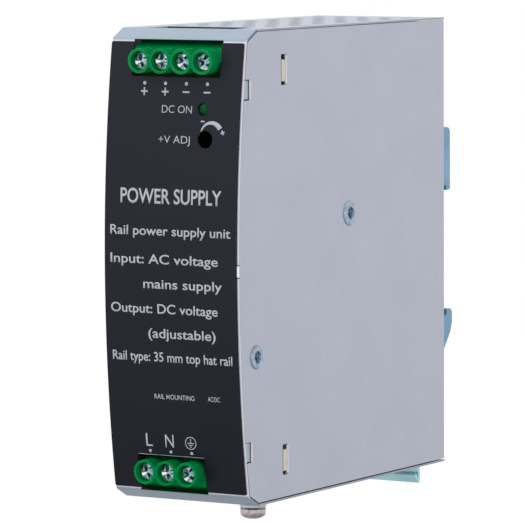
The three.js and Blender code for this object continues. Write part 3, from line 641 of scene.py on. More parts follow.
def dress(node, finish, bevel=0.15, edge=None):
    """Finishes a CAD node whose shape is right: joins its triangles into faces and rounds its edges."""
    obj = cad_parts[node]
    obj.data.materials.clear()
    for key in [finish] + ([edge] if edge else []):
        obj.data.materials.append(MATERIALS[key])
    obj.data.polygons.foreach_set("use_smooth", [True] * len(obj.data.polygons))
    obj.data.polygons.foreach_set("material_index", [0] * len(obj.data.polygons))
    weld = obj.modifiers.new("weld", "WELD")
    weld.merge_threshold = 0.002 * MM
    flat = obj.modifiers.new("flat_faces", "DECIMATE")
    flat.decimate_type = "DISSOLVE"
    flat.angle_limit = math.radians(1)
    rounded_edges(obj, bevel, 2, material=1 if edge else -1)
    even = obj.modifiers.new("even_shading", "WEIGHTED_NORMAL")
    even.keep_sharp = True


# ---- Case ----

CUT_OUT_SIDE = 0.55
CUT_OUT = (2.75, 12.4)  # from the top or bottom of the case
LED_HOLE_RADIUS = 1.8
TRIMMER_HOLE_RADIUS = 2.4
NOTCH_DEPTH = 2.7
NOTCHES = [(105.4, 110.8), (11.7, 17.1)]
LUG_SET_BACK = 0.55
MIDDLE_TAB = (60.25, 63.15)
BOARD_SLOT_DEPTH = (17.4, 20.2)
BOARD_SLOTS = [(108.6, 116.7), (6.6, 14.7)]
SHANK_RADIUS = 1.4
OUTPUT_X = [middle(f"output_screw_{i + 1}").x for i in range(OUTPUT_POLES)]
INPUT_X = [middle(f"input_screw_{i + 1}").x for i in range(INPUT_POLES)]
LED_AT = middle("status_led")
TRIMMER_AT = middle("trimmer_rotor")
EDGE = 0.14  # rounding of the sheet metal's edges
SLANT = 0.28  # the sheared walls of the notches and slots lean by this much over the sheet's thickness
SLANT_REACH = 0.4  # the cutters for them reach this far beyond the sheet
SEAM = (0.1, 0.32)  # between the bezel and the side panels, at mid height and at its ends
SIDE_SET_BACK = 0.25  # the side panels end this far before the top and bottom panels
SPARE = 1.0  # by this much the label's solids reach past its outline
LABEL_OVERLAP = 0.1  # of the label over the edges of the bezel's openings
LABEL_SET_BACK = 0.27  # of the label above the input terminal
CREASE_RADIUS = 1.0
INNER_CREASE_RADIUS = 0.25
NOTCH_LEAN = (0.8, 0.4)  # the notches are this much shallower, at the sheet's inner and outer side
LUG_DEPTH = NOTCH_DEPTH - 1.0
SLOT_CORNER = 0.5
FLANGE_DEPTH = 8.0
FLANGE_INSET = 6.0  # from the top and bottom of the case
FREE_Y = behind(-8)  # in front of everything
THROUGH_FRONT = (FREE_Y, behind(4))


def block_width(poles):
    return len(poles) * PITCH + 0.6


def centre_of(poles):
    return (poles[0] + poles[-1]) / 2


def front_openings(margin=0.0, upper_margin=0.0):
    """Cutters for the terminals, the lamp and the trimmer; the margins widen them."""
    cutters = []
    for poles, z in ((OUTPUT_X, both(below, CUT_OUT[::-1])), (INPUT_X, both(above, CUT_OUT))):
        x = around(centre_of(poles), block_width(poles) + 2 * (CUT_OUT_SIDE + margin))
        spread = (z[0] - margin, z[1] + margin + (upper_margin if poles is INPUT_X else 0))
        cutters.append(prism("y", rounded_rectangle(x, spread, 0.25), THROUGH_FRONT))
    for radius, at in ((LED_HOLE_RADIUS, LED_AT), (TRIMMER_HOLE_RADIUS, TRIMMER_AT)):
        cutters.append(rod("y", radius + margin, THROUGH_FRONT, at, 64))
    return cutters


def on_outer_side(point, normal):
    return abs(point.x) > HALF_WIDTH - 0.01 and abs(normal.x) > 0.9


def front_bezel():
    rear = behind(CHAMFER_DEPTH)
    outer, inner = front_profile(0, rear), front_profile(BEZEL_SHEET, rear)
    outer = rounded(outer, dict.fromkeys((1, len(outer) - 2), CREASE_RADIUS))
    inner = rounded(inner, dict.fromkeys((1, len(inner) - 2), INNER_CREASE_RADIUS))
    shell = prism("x", outer + inner[::-1], (-HALF_WIDTH, HALF_WIDTH))
    foot, head, depth = above(FLANGE_INSET), below(FLANGE_INSET), behind(FLANGE_DEPTH)
    flange = [(depth, head), *bow_points(SHEET / 2, head, foot), (depth, foot)]
    flange_outer = PANEL_INNER - GAP
    tab_z = (above(MIDDLE_TAB[0] - GAP), above(MIDDLE_TAB[1] + GAP))
    parts, rooms = [], []
    for side in (-1, 1):
        parts.append(prism("x", flange, (side * (flange_outer - SHEET), side * flange_outer)))
        rooms.append(block((side * flange_outer, side * (HALF_WIDTH + SHEET)), (FREE_Y, CREASE), tab_z))
        for z in NOTCHES:
            reach = bow_y(above(sum(z) / 2), SHEET / 2)
            x = (side * (flange_outer - SHEET / 2), side * (HALF_WIDTH - LUG_SET_BACK))
            parts.append(block(x, (reach, behind(LUG_DEPTH)), (above(z[0] + GAP), above(z[1] - GAP))))
    screw = middle("cover_screw_front")
    hole = rod("x", SHANK_RADIUS + 2 * GAP, (0, HALF_WIDTH), screw)
    mesh = cut(joined(shell, *parts), hole, *rooms, *front_openings())

    # These faces take the painted highlight along the bow and the painted shade along the chamfers.
    def on_margin(point, normal):
        """The cut sides, and the front face that shows beside the label."""
        beside_label = normal.y < -0.9 and abs(point.z - MID_HEIGHT) < crease_z(0) - LABEL_MARGIN - MID_HEIGHT
        return on_outer_side(point, normal) or beside_label

    # painted shade on the flange faces under the side panels, seen through the seams
    def under_side_panel(point, normal):
        return abs(normal.x) > 0.9 and abs(abs(point.x) - flange_outer) < 0.01

    others = [("bezel_edge_light_and_shade", on_margin), ("dark_zinc", under_side_panel)]
    piece("bezel_sheet", mesh, "bright_zinc", "front_bezel", bevel=EDGE, edge="cut_edge", others=others)


def front_label():
    top = crease_z(0) - LABEL_MARGIN
    bottom = mirrored_z(top)
    face, back = (bow_points(-lift, top + SPARE, bottom - SPARE) for lift in (LABEL_FACE, LABEL_LIFT))
    film = prism("x", face + back[::-1], around(0, 2 * (HALF_WIDTH + SPARE)))
    outline = rounded_rectangle((-HALF_WIDTH, HALF_WIDTH - LABEL_EDGE), (bottom, top), LABEL_CORNER)
    mesh = boolean("INTERSECT", film, [prism("y", outline, THROUGH_FRONT)])
    mesh = cut(mesh, *front_openings(-LABEL_OVERLAP, LABEL_SET_BACK))
    piece("label_overlay", mesh, "black_film", "front_label")


def side_outline(side):
    """The outline of a side panel, which follows the bezel at a seam that widens towards its ends."""
    top, bottom = TOP - VENT_SHEET - VENT_GAP[side][0], BOTTOM + VENT_SHEET + VENT_GAP[side][1]
    widest = BEZEL_SHEET + SEAM[1]
    crease = crease_z(widest)
    bow = []
    for _, z in bow_points(0, crease, mirrored_z(crease)):
        spread = abs(z - MID_HEIGHT) / (crease - MID_HEIGHT)
        bow.append((bow_y(z, BEZEL_SHEET + SEAM[0] + (SEAM[1] - SEAM[0]) * spread**4), z))
    rear = REAR - SIDE_SET_BACK
    upper, lower = chamfer_y(top, widest), chamfer_y(mirrored_z(bottom), widest)
    return [(rear, top), (upper, top), *bow, (lower, bottom), (rear, bottom)]


def side_panel(side):
    plate = prism("x", side_outline(side), (side * PANEL_INNER, side * HALF_WIDTH))
    through = (side * (PANEL_INNER - SLANT_REACH), side * (HALF_WIDTH + SLANT_REACH))
    inner, outer = (behind(NOTCH_DEPTH - lean) for lean in NOTCH_LEAN)
    notch = [(through[0], FREE_Y), (through[1], FREE_Y), (through[1], outer), (through[0], inner)]
    cutters = [prism("z", notch, both(above, z)) for z in NOTCHES]
    front, rear = both(behind, BOARD_SLOT_DEPTH)
    for z in BOARD_SLOTS:
        inner, outer = (
            rounded_rectangle((front - shift / 2, rear + shift), both(above, z), SLOT_CORNER)
            for shift in (-SLANT, SLANT)
        )
        cutters.append(prism("x", inner, through, outer))
    return cut(plate, *cutters)


def middle_tab(side):
    """The tab with which a side panel reaches into the bezel's edge."""
    tip, root, end = bow_y(MID_HEIGHT, -0.1), bow_y(MID_HEIGHT, 0.45), bow_y(MID_HEIGHT, SHEET) + 1
    x, z = (side * PANEL_INNER, side * (HALF_WIDTH - 0.02)), both(above, MIDDLE_TAB)
    return merged([block(x, (tip, root), z), block(x, (root, end), z)])


# These faces take the painted shade and painted highlight of the side panels' edges.
def on_sheared_face(point, normal):
    """The middle tab, and the rear walls of the notches and slots."""
    in_notch = normal.y < -0.6 and abs(normal.z) < 0.3 and point.y > behind(2)
    on_tab = point.y < bow_y(MID_HEIGHT, 0.3) and abs(point.x) < HALF_WIDTH - 0.01 and abs(normal.z) < 0.5
    return in_notch or on_tab


def side_piece(name, node, panel, side):
    """A side panel's visible piece, with its middle tab."""
    mesh = merged([panel, middle_tab(side)])
    others = [("sheared_edge_light_and_shade", on_sheared_face)]
    piece(name, mesh, "grey_steel", node, bevel=EDGE, edge="cut_edge", others=others)


COVER_SCREWS = {"cover_screw_front": 3.05, "cover_screw_middle": 3.35}  # head radius
COUNTERSINK = 1.4
BOSS_RADIUS = 2.5
BOSS_DEPTH = (26, 98)
BOSS_HEIGHT = (10, 113)


def right_side_cover():
    throat, mouth = PANEL_INNER - GAP, HALF_WIDTH + 0.2
    cones = []
    for name, head in COVER_SCREWS.items():
        at = middle(name)
        cone = [(0, throat), (SHANK_RADIUS + 2 * GAP, throat), (head + GAP, mouth), (0, mouth)]
        cones.append(lathe("x", cone, at, 64))
    side_piece("side_cover_sheet", "right_side_cover", cut(side_panel(1), *cones), 1)


def left_side_panel():
    inner = low("main_board").x - GAP
    bosses = []
    for y in both(behind, BOSS_DEPTH):
        for z in both(above, BOSS_HEIGHT):
            bosses.append(rod("x", BOSS_RADIUS, (-PANEL_INNER - SHEET / 2, inner), (0, y, z), 32))
    side_piece("side_panel_sheet", "left_side_panel", joined(side_panel(-1), *bosses), -1)


VENT_PITCH = 7.0
VENT_RADIUS = 1.95
VENT_FRONT = 23.0  # behind the creases
VENT_REAR = 5.0  # in front of the rear edge
WIRE_NOTCH_DEPTH = 15.5
EARTH_HOLE_RADIUS = 2.0


def vent_holes(z):
    row_pitch = VENT_PITCH * math.sin(math.pi / 3)
    front = behind(VENT_FRONT)
    rows = int((REAR - VENT_REAR - front) / row_pitch) + 1
    holes = []
    for row in range(rows):
        count = 4 if row % 2 else 5
        for i in range(count):
            spot = ((i - (count - 1) / 2) * VENT_PITCH, front + row * row_pitch, 0)
            holes.append(rod("z", VENT_RADIUS, (z - SHEET, z + SHEET), spot, 32))
    return merged(holes)


# painted shade on the rear edge of the wire opening
def in_wire_opening(point, normal):
    return normal.y < -0.9 and abs(point.y - behind(WIRE_NOTCH_DEPTH)) < 0.1


def vent_panels():
    earth = middle("earth_washer")
    top, bottom = TOP - VENT_SHEET / 2, BOTTOM + VENT_SHEET / 2
    # painted shade on the sheets' side edges
    others = [("vent_side", on_outer_side), ("dark_zinc", in_wire_opening)]
    for name, z, poles in (("top_vent", top, OUTPUT_X), ("bottom_vent", bottom, INPUT_X)):
        sheet = block((-HALF_WIDTH, HALF_WIDTH), (behind(CHAMFER_DEPTH) + GAP, REAR), around(z, VENT_SHEET))
        x = around(centre_of(poles), block_width(poles) + 2 * CUT_OUT_SIDE)
        outline = rounded_rectangle(x, (behind(-5), behind(WIRE_NOTCH_DEPTH)), 0.6)
        cutters = [prism("z", outline, around(z, 2 * SHEET)), vent_holes(z)]
        if z == bottom:
            cutters.append(rod("z", EARTH_HOLE_RADIUS, around(z, 3 * SHEET), earth))
        mesh = cut(sheet, *cutters)
        piece(name + "_sheet", mesh, "vent_steel", name + "_panel", "grey_steel", bevel=0.06, others=others)


# ---- Fasteners ----


def cross_cutter(axis, at, face, depth, reach, width, angle):
    """A tapered cross recess whose mouth lies at face along the axis and which goes in by depth."""
    half = width / 2
    arm = [(half, half), (reach, half * 0.8), (reach, -half * 0.8), (half, -half)]
    outline = []
    for quarter in range(4):
        turn = Matrix.Rotation(math.radians(angle - 90 * quarter), 2)
        outline += [tuple(turn @ Vector(p)) for p in arm[:3]]
    centre = {"x": (at[1], at[2]), "y": (at[0], at[2]), "z": (at[0], at[1])}[axis]
    mouth, foot = ([(centre[0] + a * size, centre[1] + b * size) for a, b in outline] for size in (1, 0.45))
    lift = 0.02 if depth < 0 else -0.02
    return prism(axis, mouth, (face + lift, face + depth), foot)


def dome(radius, height, tip, step):
    """Profile points of a rounded end, from its tip on the axis to its rim, a step in degrees apart."""
    angles = [math.radians(a) for a in range(0, 91, step)]
    return [(radius * math.sin(a), tip + height * (1 - math.cos(a))) for a in angles]


def off_axis(axis, point, at):
    """Distance of a point from a line along an axis."""
    offset = point - at
    offset["xyz".index(axis)] = 0
    return offset.length


def threads(radius, start, end, pitch=0.5, depth=0.16):
    """Profile points of a thread, as rings."""
    count = int(abs(end - start) / pitch)
    step = (end - start) / count
    points = []
    for i in range(count):
        points += [(radius - depth, start + i * step), (radius, start + (i + 0.5) * step)]
    return points + [(radius - depth, end)]


def cover_screws():
    for name, head in COVER_SCREWS.items():
        at = middle(name)
        face, end = high(name).x, low(name).x
        rim, dip, mouth = face - 0.3, face - 0.5, face + 0.02
        profile = [(0, end), (SHANK_RADIUS - 0.3, end), *threads(SHANK_RADIUS, end + 0.4, rim - COUNTERSINK)]
        profile += [(head, rim - 0.1), (head, rim), (head - 0.25, face - 0.08), (head - 0.9, face), (0, face)]
        bowl = lathe("x", [(0, dip), (1.35, dip), (1.65, mouth), (0, mouth)], at, 48)
        cross = cross_cutter("x", at, dip, depth=-0.9, reach=1.2, width=0.8, angle=8)
        mesh = cut(lathe("x", profile, at, 64), bowl, cross)

        # the bowl and cross take painted shade
        def in_recess(point, normal):
            return face - 2 < point.x < face - 0.02 and off_axis("x", point, at) < 1.6

        def on_glint(point, normal):
            return in_recess(point, normal) and normal.y < -0.9 and point.x > face - 0.45

        others = [("soft_recess", in_recess), ("glint", on_glint)]
        piece(name + "_turned", mesh, "worn_zinc", name, "screw_steel", others=others)


def earth_fastening():
    at = middle("earth_washer")
    top, bottom = high("earth_washer").z, low("earth_washer").z
    ring = [(EARTH_HOLE_RADIUS, top), (3.5, top), (3.5, bottom), (EARTH_HOLE_RADIUS, bottom)]
    washer = lathe("z", ring, at, 64)
    piece("earth_washer_ring", washer, "washer_steel", "earth_washer", "screw_steel", bevel=0.08)
    face, seat, end = low("earth_screw").z, low("earth_screw").z + 2.9, high("earth_screw").z
    profile = [*dome(3.4, 1.7, face, 10), (3.4, seat - 0.15), (3.25, seat), (1.4, seat)]
    profile += [*threads(1.5, seat + 0.3, end - 0.3), (1.1, end), (0, end)]
    cross = cross_cutter("z", at, face, depth=2.3, reach=1.9, width=1.0, angle=20)
    mesh = cut(lathe("z", profile, at, 64), cross)
    piece("earth_screw_turned", mesh, "nickel", "earth_screw", "screw_steel")


def rivets():
    for i in range(4):
        node = f"bracket_rivet_{i + 1}"
        at, end, tip = middle(node), low(node).y, high(node).y
        seat = tip - 0.8
        profile = [(0, end), (1.2, end), (1.2, seat), (2.2, seat), *dome(2.2, -0.7, tip, 15)[::-1]]
        piece(f"rivet_{i + 1}", lathe("y", profile, at, 40), "screw_steel", node, bevel=0.04)


# ---- Rail clip ----


def latch_spring():
    """Round wire wound at an even pitch, with its ends closed."""
    at, bottom, top = middle("latch_spring"), low("latch_spring").z, high("latch_spring").z
    turns, radius, wire, sides, per_turn = 7, 0.9, 0.2, 10, 24
    steps = turns * per_turn
    sections = []
    for i in range(steps + 1):
        angle = 2 * math.pi * i / per_turn
        out = Vector((math.cos(angle), math.sin(angle), 0))
        height = bottom + wire + (top - bottom - 2 * wire) * i / steps
        sections.append((Vector((0, at.y, height)) + radius * out, out, Vector((0, 0, 1))))
    wound = piece("spring_wire", wire_through(sections, wire, sides), "screw_steel", "latch_spring", bevel=0)
    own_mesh(wound)


# ---- Terminals ----

COLLAR_FRONT = -4.7
BODY_RECESS = 2.0  # the body's front is set back beside the collars' inner halves
HEAD_FRONT = -3.1
HEAD_THICKNESS = 1.7
CLAMP = {"front": 6.0, "rear": 13.2, "from": 4.6}
CLAMP_TRAVEL = 2.7
CAVITY_WIDTH = 5.6
BAR_WIDTH = 3.6
BAR_DROP = (12.1, 13.6)  # from the top or bottom of the case
BAR_DEPTH = (7, 18)
ENTRY_WIDTH = 4.8
ENTRY_DEPTH = (7.2, 12.9)
BODY_DROP = (1.7, 14.9)
BOARD_DEPTH = 17.8


def scalloped(poles, z, radius, fillet=0.55, steps=20):
    """The outline of a row of round collars that run into each other."""
    half = PITCH / 2
    lift = math.sqrt((radius + fillet) ** 2 - half**2)
    waist = math.degrees(math.atan2(lift, half))
    outline = []
    right_to_left = sorted(poles, reverse=True)
    for x in right_to_left:
        start = waist if x != right_to_left[0] else waist - 180
        end = 180 - waist if x != right_to_left[-1] else 360 - waist
        outline += arc((x, z), radius, start, end, steps)
        if x != right_to_left[-1]:
            outline += arc((x - half, z + lift), fillet, -waist, waist - 180, 6)[1:-1]
    for x in right_to_left[::-1]:
        if x not in (right_to_left[0], right_to_left[-1]):
            outline += arc((x, z), radius, 180 + waist, 360 - waist, steps)
        if x != right_to_left[0]:
            outline += arc((x + half, z - lift), fillet, 180 - waist, waist, 6)[1:-1]
    return outline


def terminal_housing(name, poles, height):
    """A row of poles; height turns a distance from the case's top or bottom into Z."""
    axis_z = height(TERMINAL_INSET)
    end, (near, far) = BOARD_DEPTH - GAP, BODY_DROP
    corners = [(BODY_RECESS, TERMINAL_INSET), (-0.4, TERMINAL_INSET), (-0.4, 4.9), (3.3, 3.1), (6, near)]
    corners += [(end, near), (end, far), (BODY_RECESS, far)]
    outline = rounded([(behind(depth), height(drop)) for depth, drop in corners], {2: 0.4, 3: 1.5, 4: 0.8})
    body = prism("x", outline, around(centre_of(poles), block_width(poles)))
    length = both(behind, (COLLAR_FRONT, BODY_RECESS + 0.5))
    collars = prism("y", scalloped(poles, axis_z, COLLAR_RADIUS), length)
    mesh = joined(body, collars)

    def drops(near, far):
        return tuple(sorted((height(near), height(far))))

    heads, shanks, cavities, entries, exits = [], [], [], [], []
    head_room = both(behind, (-6, HEAD_FRONT + HEAD_THICKNESS + GAP))
    clamp_room = both(behind, (CLAMP["front"] - CLAMP_TRAVEL - GAP, CLAMP["rear"] + GAP))
    for x in poles:
        at = (x, 0, axis_z)
        heads.append(rod("y", HEAD_RADIUS + 0.12, head_room, at, 64))
        shanks.append(rod("y", 1.55, both(behind, (-2, 4)), at, 32))
        cavities.append(block(around(x, CAVITY_WIDTH), clamp_room, drops(CLAMP["from"] - GAP, BAR_DROP[1])))
        entry = rounded_rectangle(around(x, ENTRY_WIDTH), both(behind, ENTRY_DEPTH), 0.6)
        entries.append(prism("z", entry, drops(0, CLAMP["from"])))
        exits.append(block(around(x, BAR_WIDTH + 2 * GAP), both(behind, BAR_DEPTH), drops(*BAR_DROP)))
    mesh = cut(mesh, *[merged(cutters) for cutters in (heads, shanks, cavities, entries, exits)])
    housing = name + "_terminal_housing"
    # the rounded edges take a painted highlight
    look = {"bevel": 0.24, "segments": 3, "edge": "green_rim_highlight"}
    piece(name + "_terminal_moulding", mesh, "green_plastic", housing, **look)


SCREW_ANGLES = {"output": (18, 5, 38, 62), "input": (30, 12, 52)}  # how far each cross recess is turned


def terminal_screws(name):
    for i, angle in enumerate(SCREW_ANGLES[name]):
        node = f"{name}_screw_{i + 1}"
        at, face, end = middle(node), low(node).y, high(node).y
        seat = face + HEAD_THICKNESS
        radius = HEAD_RADIUS
        profile = [(0, face), (radius - 0.75, face), (radius - 0.25, face + 0.1), (radius, face + 0.35)]
        profile += [(radius, seat), (1.3, seat), *threads(1.25, seat + 0.8, end - 0.3), (0.9, end), (0, end)]
        cross = cross_cutter("y", at, face, depth=0.9, reach=2.1, width=1.3, angle=angle)
        mesh = cut(lathe("y", profile, at, 64), cross)

        # the cross recess takes painted shade
        def in_recess(point, normal):
            deep = face + 0.04 < point.y < face + 1.68
            return deep and off_axis("y", point, at) < 2.12 and abs(normal.y) < 0.999

        def on_lit_rim(point, normal):
            """The chamfer of the head, on its left and below."""
            turn = math.degrees(math.atan2(point.z - at.z, point.x - at.x)) % 360
            return point.y < face + 0.3 and off_axis("y", point, at) > HEAD_RADIUS - 0.7 and 165 < turn < 300

        # painted glints on the heads and their rounded edges
        look = {"bevel": 0.06, "edge": "screw_head", "others": [("recess", in_recess), ("glint", on_lit_rim)]}
        piece(node + "_turned", mesh, "screw_head", node, "screw_steel", body=node, **look)


# ---- Front controls ----


def status_lamp():
    at, tip = LED_AT, bow_y(LED_AT.z, 0.05)
    radius, height = 1.74, 0.7
    foot, end = tip + 4, tip + 4.8
    profile = [*dome(radius, height, tip, 9), (radius, foot), (1.75, foot), (1.75, end), (0, end)]
    bulb = lathe("y", profile, at, 48)
    length, thick = (tip + 4.5, behind(BOARD_DEPTH - GAP)), around(at.z, 0.5)
    legs = [block(around(at.x + offset, 0.5), length, thick) for offset in (-0.64, 0.64)]
    piece("status_lamp", joined(bulb, *legs), "green_lens", "status_led", bevel=0.06)


def trimmer():
    at, face, end = TRIMMER_AT, low("trimmer_rotor").y, high("trimmer_rotor").y
    radius = 1.8
    profile = [(0, face), (radius - 0.2, face), (radius, face + 0.2), (radius, end), (0, end)]
    cross = cross_cutter("y", at, face, depth=1.2, reach=1.3, width=0.6, angle=35)
    mesh = cut(lathe("y", profile, at), cross)
    piece("trimmer_dial", mesh, "white_ceramic", "trimmer_rotor", body="trimmer")


# ---- Printing on the label ----


def on_label(x, z, lift):
    """A point of the label, at a height above the case's bottom, in front of its printed face."""
    return (x, bow_y(above(z), -(LABEL_FACE + lift)), above(z))


def stroke(first, second, closed=False):
    """Ink between two lines of (x, z) points."""
    count = len(first)
    points = []
    for lift in (INK, -INK / 2):
        for line in (first, second):
            points += [on_label(x, z, lift) for x, z in line]
    rings = [range(k * count, (k + 1) * count) for k in (0, 1, 3, 2)]
    faces = []
    for i in range(count if closed else count - 1):
        j = (i + 1) % count
        faces += [(near[i], near[j], far[j], far[i]) for near, far in zip(rings, rings[1:] + rings[:1])]
    if not closed:
        faces += [[ring[i] for ring in rings] for i in (0, count - 1)]
    return solid(points, faces)


def bar(start, end, width):
    """A straight stroke."""
    along = (Vector(end) - Vector(start)).normalized()
    side = Vector((-along.y, along.x)) * width / 2
    return stroke([Vector(start) + side, Vector(end) + side], [Vector(start) - side, Vector(end) - side])


def dot(x, z, radius):
    rim = arc((x, z), radius, 0, 360, 24)[:-1]
    hub = [(x + (a - x) * 0.02, z + (b - z) * 0.02) for a, b in rim]
    return stroke(rim, hub, True)


def ring_mark(x, z, radius, width):
    return stroke(arc((x, z), radius, 0, 360, 40)[:-1], arc((x, z), radius - width, 0, 360, 40)[:-1], True)


def plus(x, z, size, width, angle=0):
    arms = []
    for turn in (angle, angle + 90):
        reach = Vector((math.cos(math.radians(turn)), math.sin(math.radians(turn)))) * size / 2
        arms.append(bar(Vector((x, z)) - reach, Vector((x, z)) + reach, width))
    return arms


def glyphs(words, bold):
    """The words as a mesh one unit of extrusion thick, in the font's own units."""
    curve = bpy.data.curves.new("words", "FONT")
    curve.body = words
    curve.extrude = 0.5
    curve.offset = bold
    curve.resolution_u = 5
    return evaluated(in_scene("words", curve))


def lettering(words, cap, span, z, bold):
    """Words with capitals of a height, centred on z and fitted between two x."""
    font_cap = max(v.co.y for v in glyphs("H", 0).vertices)
    mesh = glyphs(words, bold)
    xs = [v.co.x for v in mesh.vertices]
    width = max(xs) - min(xs)
    for v in mesh.vertices:
        x = span[0] + (v.co.x - min(xs)) / width * (span[1] - span[0])
        height = z - cap / 2 + v.co.y * cap / font_cap
        v.co = on_label(x, height, INK if v.co.z > 0 else -INK / 2)
    return merged([mesh], 0.0005, outward=True)


LINES = [
    ("DC ON", 1.95, (-3.7, 5.45), 102.9, -0.004),
    ("+V ADJ", 1.95, (-4.35, 5.2), 95.1, -0.004),
    ("POWER SUPPLY", 3.7, (-15.5, 15.25), 80.35, 0.016),
    ("Rail power supply unit", 2.4, (-18.55, 18.07), 71.4, 0.012),
    ("Input: AC voltage", 2.4, (-18.5, 14.3), 64.0, 0.012),
    ("mains supply", 2.4, (-8.45, 15.5), 57.6, 0.012),
    ("Output: DC voltage", 2.4, (-18.5, 14.1), 51.1, 0.012),
    ("(adjustable)", 2.4, (-7.2, 13.3), 44.7, 0.012),
    ("Rail type: 35 mm top hat rail", 2.4, (-18.4, 18.1), 38.5, 0.012),
    ("RAIL MOUNTING", 1.25, (-6.1, 6.1), 28.1, 0.004),
    ("AC/DC", 1.25, (10.2, 13.85), 28.2, 0.0),
    ("L", 3.4, (-9.56, -7.58), 16.4, 0.0),
    ("N", 3.4, (-3.63, -1.04), 16.4, 0.0),
]


def earth_symbol(x, z):
    marks = [ring_mark(x, z, 1.7, 0.2), bar((x, z + 1.2), (x, z + 0.1), 0.2)]
    for drop, half in ((0, 1.05), (0.5, 0.68), (1.0, 0.3)):
        marks.append(bar((x - half, z - drop), (x + half, z - drop), 0.2))
    return marks


def turning_arrow():
    """A curved stroke that widens clockwise above the trimmer, with a minus and a plus at its ends."""
    centre, radius, steps = (11.5, 96.55), 3.1, 24
    angles = [165 - 135 * i / steps for i in range(steps + 1)]
    widths = [0.25 + 1.2 * i / steps for i in range(steps + 1)]
    sides = []
    for sign in (1, -1):
        side = []
        for angle, width in zip(angles, widths):
            side += arc(centre, radius + sign * width / 2, angle, angle, 1)[:1]
        sides.append(side)
    return [stroke(*sides), bar((8.3, 99.95), (9.4, 99.95), 0.4), *plus(15.0, 97.2, 1.2, 0.42, 20)]


def label_markings():
    marks = [lettering(*line) for line in LINES]
    for x, sign in zip(OUTPUT_X, "++--"):
        marks.append(dot(x + 0.2, 109.5, 0.48))
        arms = plus(x + 0.2, 107.35, 2.1, 0.45)
        marks += arms if sign == "+" else arms[:1]
    marks += [dot(x + 0.1, 13.5, 0.42) for x in INPUT_X]
    marks += earth_symbol(INPUT_X[-1], 16.2)
    marks += turning_arrow()
    piece("label_markings", merged(marks), "ink", bevel=0)


# ---- Boards and components ----


def board(name, node, slabs, axis):
    """A circuit board from its slabs: solder mask on the faces along an axis, bare laminate on the edges."""
    mesh = joined(*slabs) if len(slabs) > 1 else slabs[0]
    bare = [("board_edge", lambda point, normal: abs(normal[axis]) < 0.5)]
    piece(name, mesh, "green_board", node, bevel=0.06, others=bare)


def boards():
    x, y, z = spans("terminal_board")
    slabs = [block(around(0, 2 * (PANEL_INNER - 2 * GAP)), y, z)]
    slabs += [block(x, y, both(above, (slot[0] + 1, slot[1] - 1.5))) for slot in BOARD_SLOTS]
    board("terminal_board_panel", "terminal_board", slabs, 1)
    board("main_board_panel", "main_board", [block(*spans("main_board"))], 0)


def wound_ring(name, node, bore, wire, windings, turns):
    """A ring core whose windings lie between pairs of angles, in degrees, each with a number of turns."""
    start, end, at = low(node), high(node), middle(node)
    outer, thick = (end.z - start.z) / 2, 2 * wire + 0.05
    core = rounded_rectangle((bore + thick, outer - thick), (start.x + thick, end.x - thick), 0.7, 4)
    piece(name + "_core", lathe("x", core, at, 64), "ferrite", bevel=0)
    section = rounded_rectangle((bore + wire, outer - wire), (start.x + wire, end.x - wire), 1.2, 4)
    loops = []
    for first, last in windings:
        for i in range(turns):
            angle = math.radians(first + (last - first) * i / (turns - 1))
            out = Vector((0, math.cos(angle), math.sin(angle)))
            path = [Vector((x, at.y, at.z)) + radius * out for radius, x in section]
            axis = Vector((0, -math.sin(angle), math.cos(angle)))
            sections = []
            for k, point in enumerate(path):
                along = (path[(k + 1) % len(path)] - path[k - 1]).normalized()
                sections.append((point, along.cross(axis), axis))
            loops.append(wire_through(sections, wire, 8, closed=True))
    piece(name + "_winding", merged(loops), "copper_wire", node, bevel=0)


def capacitor_can(name, node, groove, lip):
    """An electrolytic capacitor: crimped can in a sleeve with a pale stripe, and a scored metal top."""
    start, end, at = low(node).x, high(node).x, middle(node)
    radius = high(node).z - at.z
    crimp, waist = start + groove, radius - 0.55
    profile = [(0, start), (radius - 0.6, start), (radius, start + 0.5), (radius, crimp - 0.9)]
    profile += [(waist, crimp - 0.3), (waist, crimp + 0.3), (radius, crimp + 0.9), (radius, end - 0.8)]
    profile += [(radius - 0.25, end - 0.25), (radius - 0.8, end), (radius - lip, end)]
    profile += [(radius - lip, end - 0.3), (0, end - 0.3)]
    score = ((radius - lip) * 1.5, 0.3)
    scores = [block((end - 0.5, end), around(at.y, a), around(at.z, b)) for a, b in (score, score[::-1])]
    mesh = cut(lathe("x", profile, at, 72), joined(*scores))

    def on_top(point, normal):
        return point.x > end - 0.6 and off_axis("x", point, at) < radius - lip + 0.05

    def on_stripe(point, normal):
        turn = math.degrees(math.atan2(point.z - at.z, point.y - at.y)) % 360
        return not on_top(point, normal) and turn > 335

    piece(name, mesh, "blue_sleeve", node, bevel=0.12, others=[("stripe", on_stripe), ("aluminium", on_top)])


def fuse():
    at, start, end = middle("input_fuse"), low("input_fuse").z, high("input_fuse").z
    radius, cap = high("input_fuse").x - at.x, 5.2
    glass = radius - 0.25
    profile = [(0, start), (radius - 0.3, start), (radius, start + 0.3), (radius, start + cap)]
    profile += [(glass, start + cap), (glass, end - cap), (radius, end - cap), (radius, end - 0.3)]
    profile += [(radius - 0.3, end), (0, end)]
    mesh = lathe("z", profile, at, 48)
    on_cap = [("nickel", lambda point, normal: min(point.z - start, end - point.z) < cap)]
    piece("fuse", mesh, "white_ceramic", "input_fuse", others=on_cap)


LEG = (0.9, 0.6)  # width and thickness
LEG_OFFSETS = (-2.54, 0, 2.54)


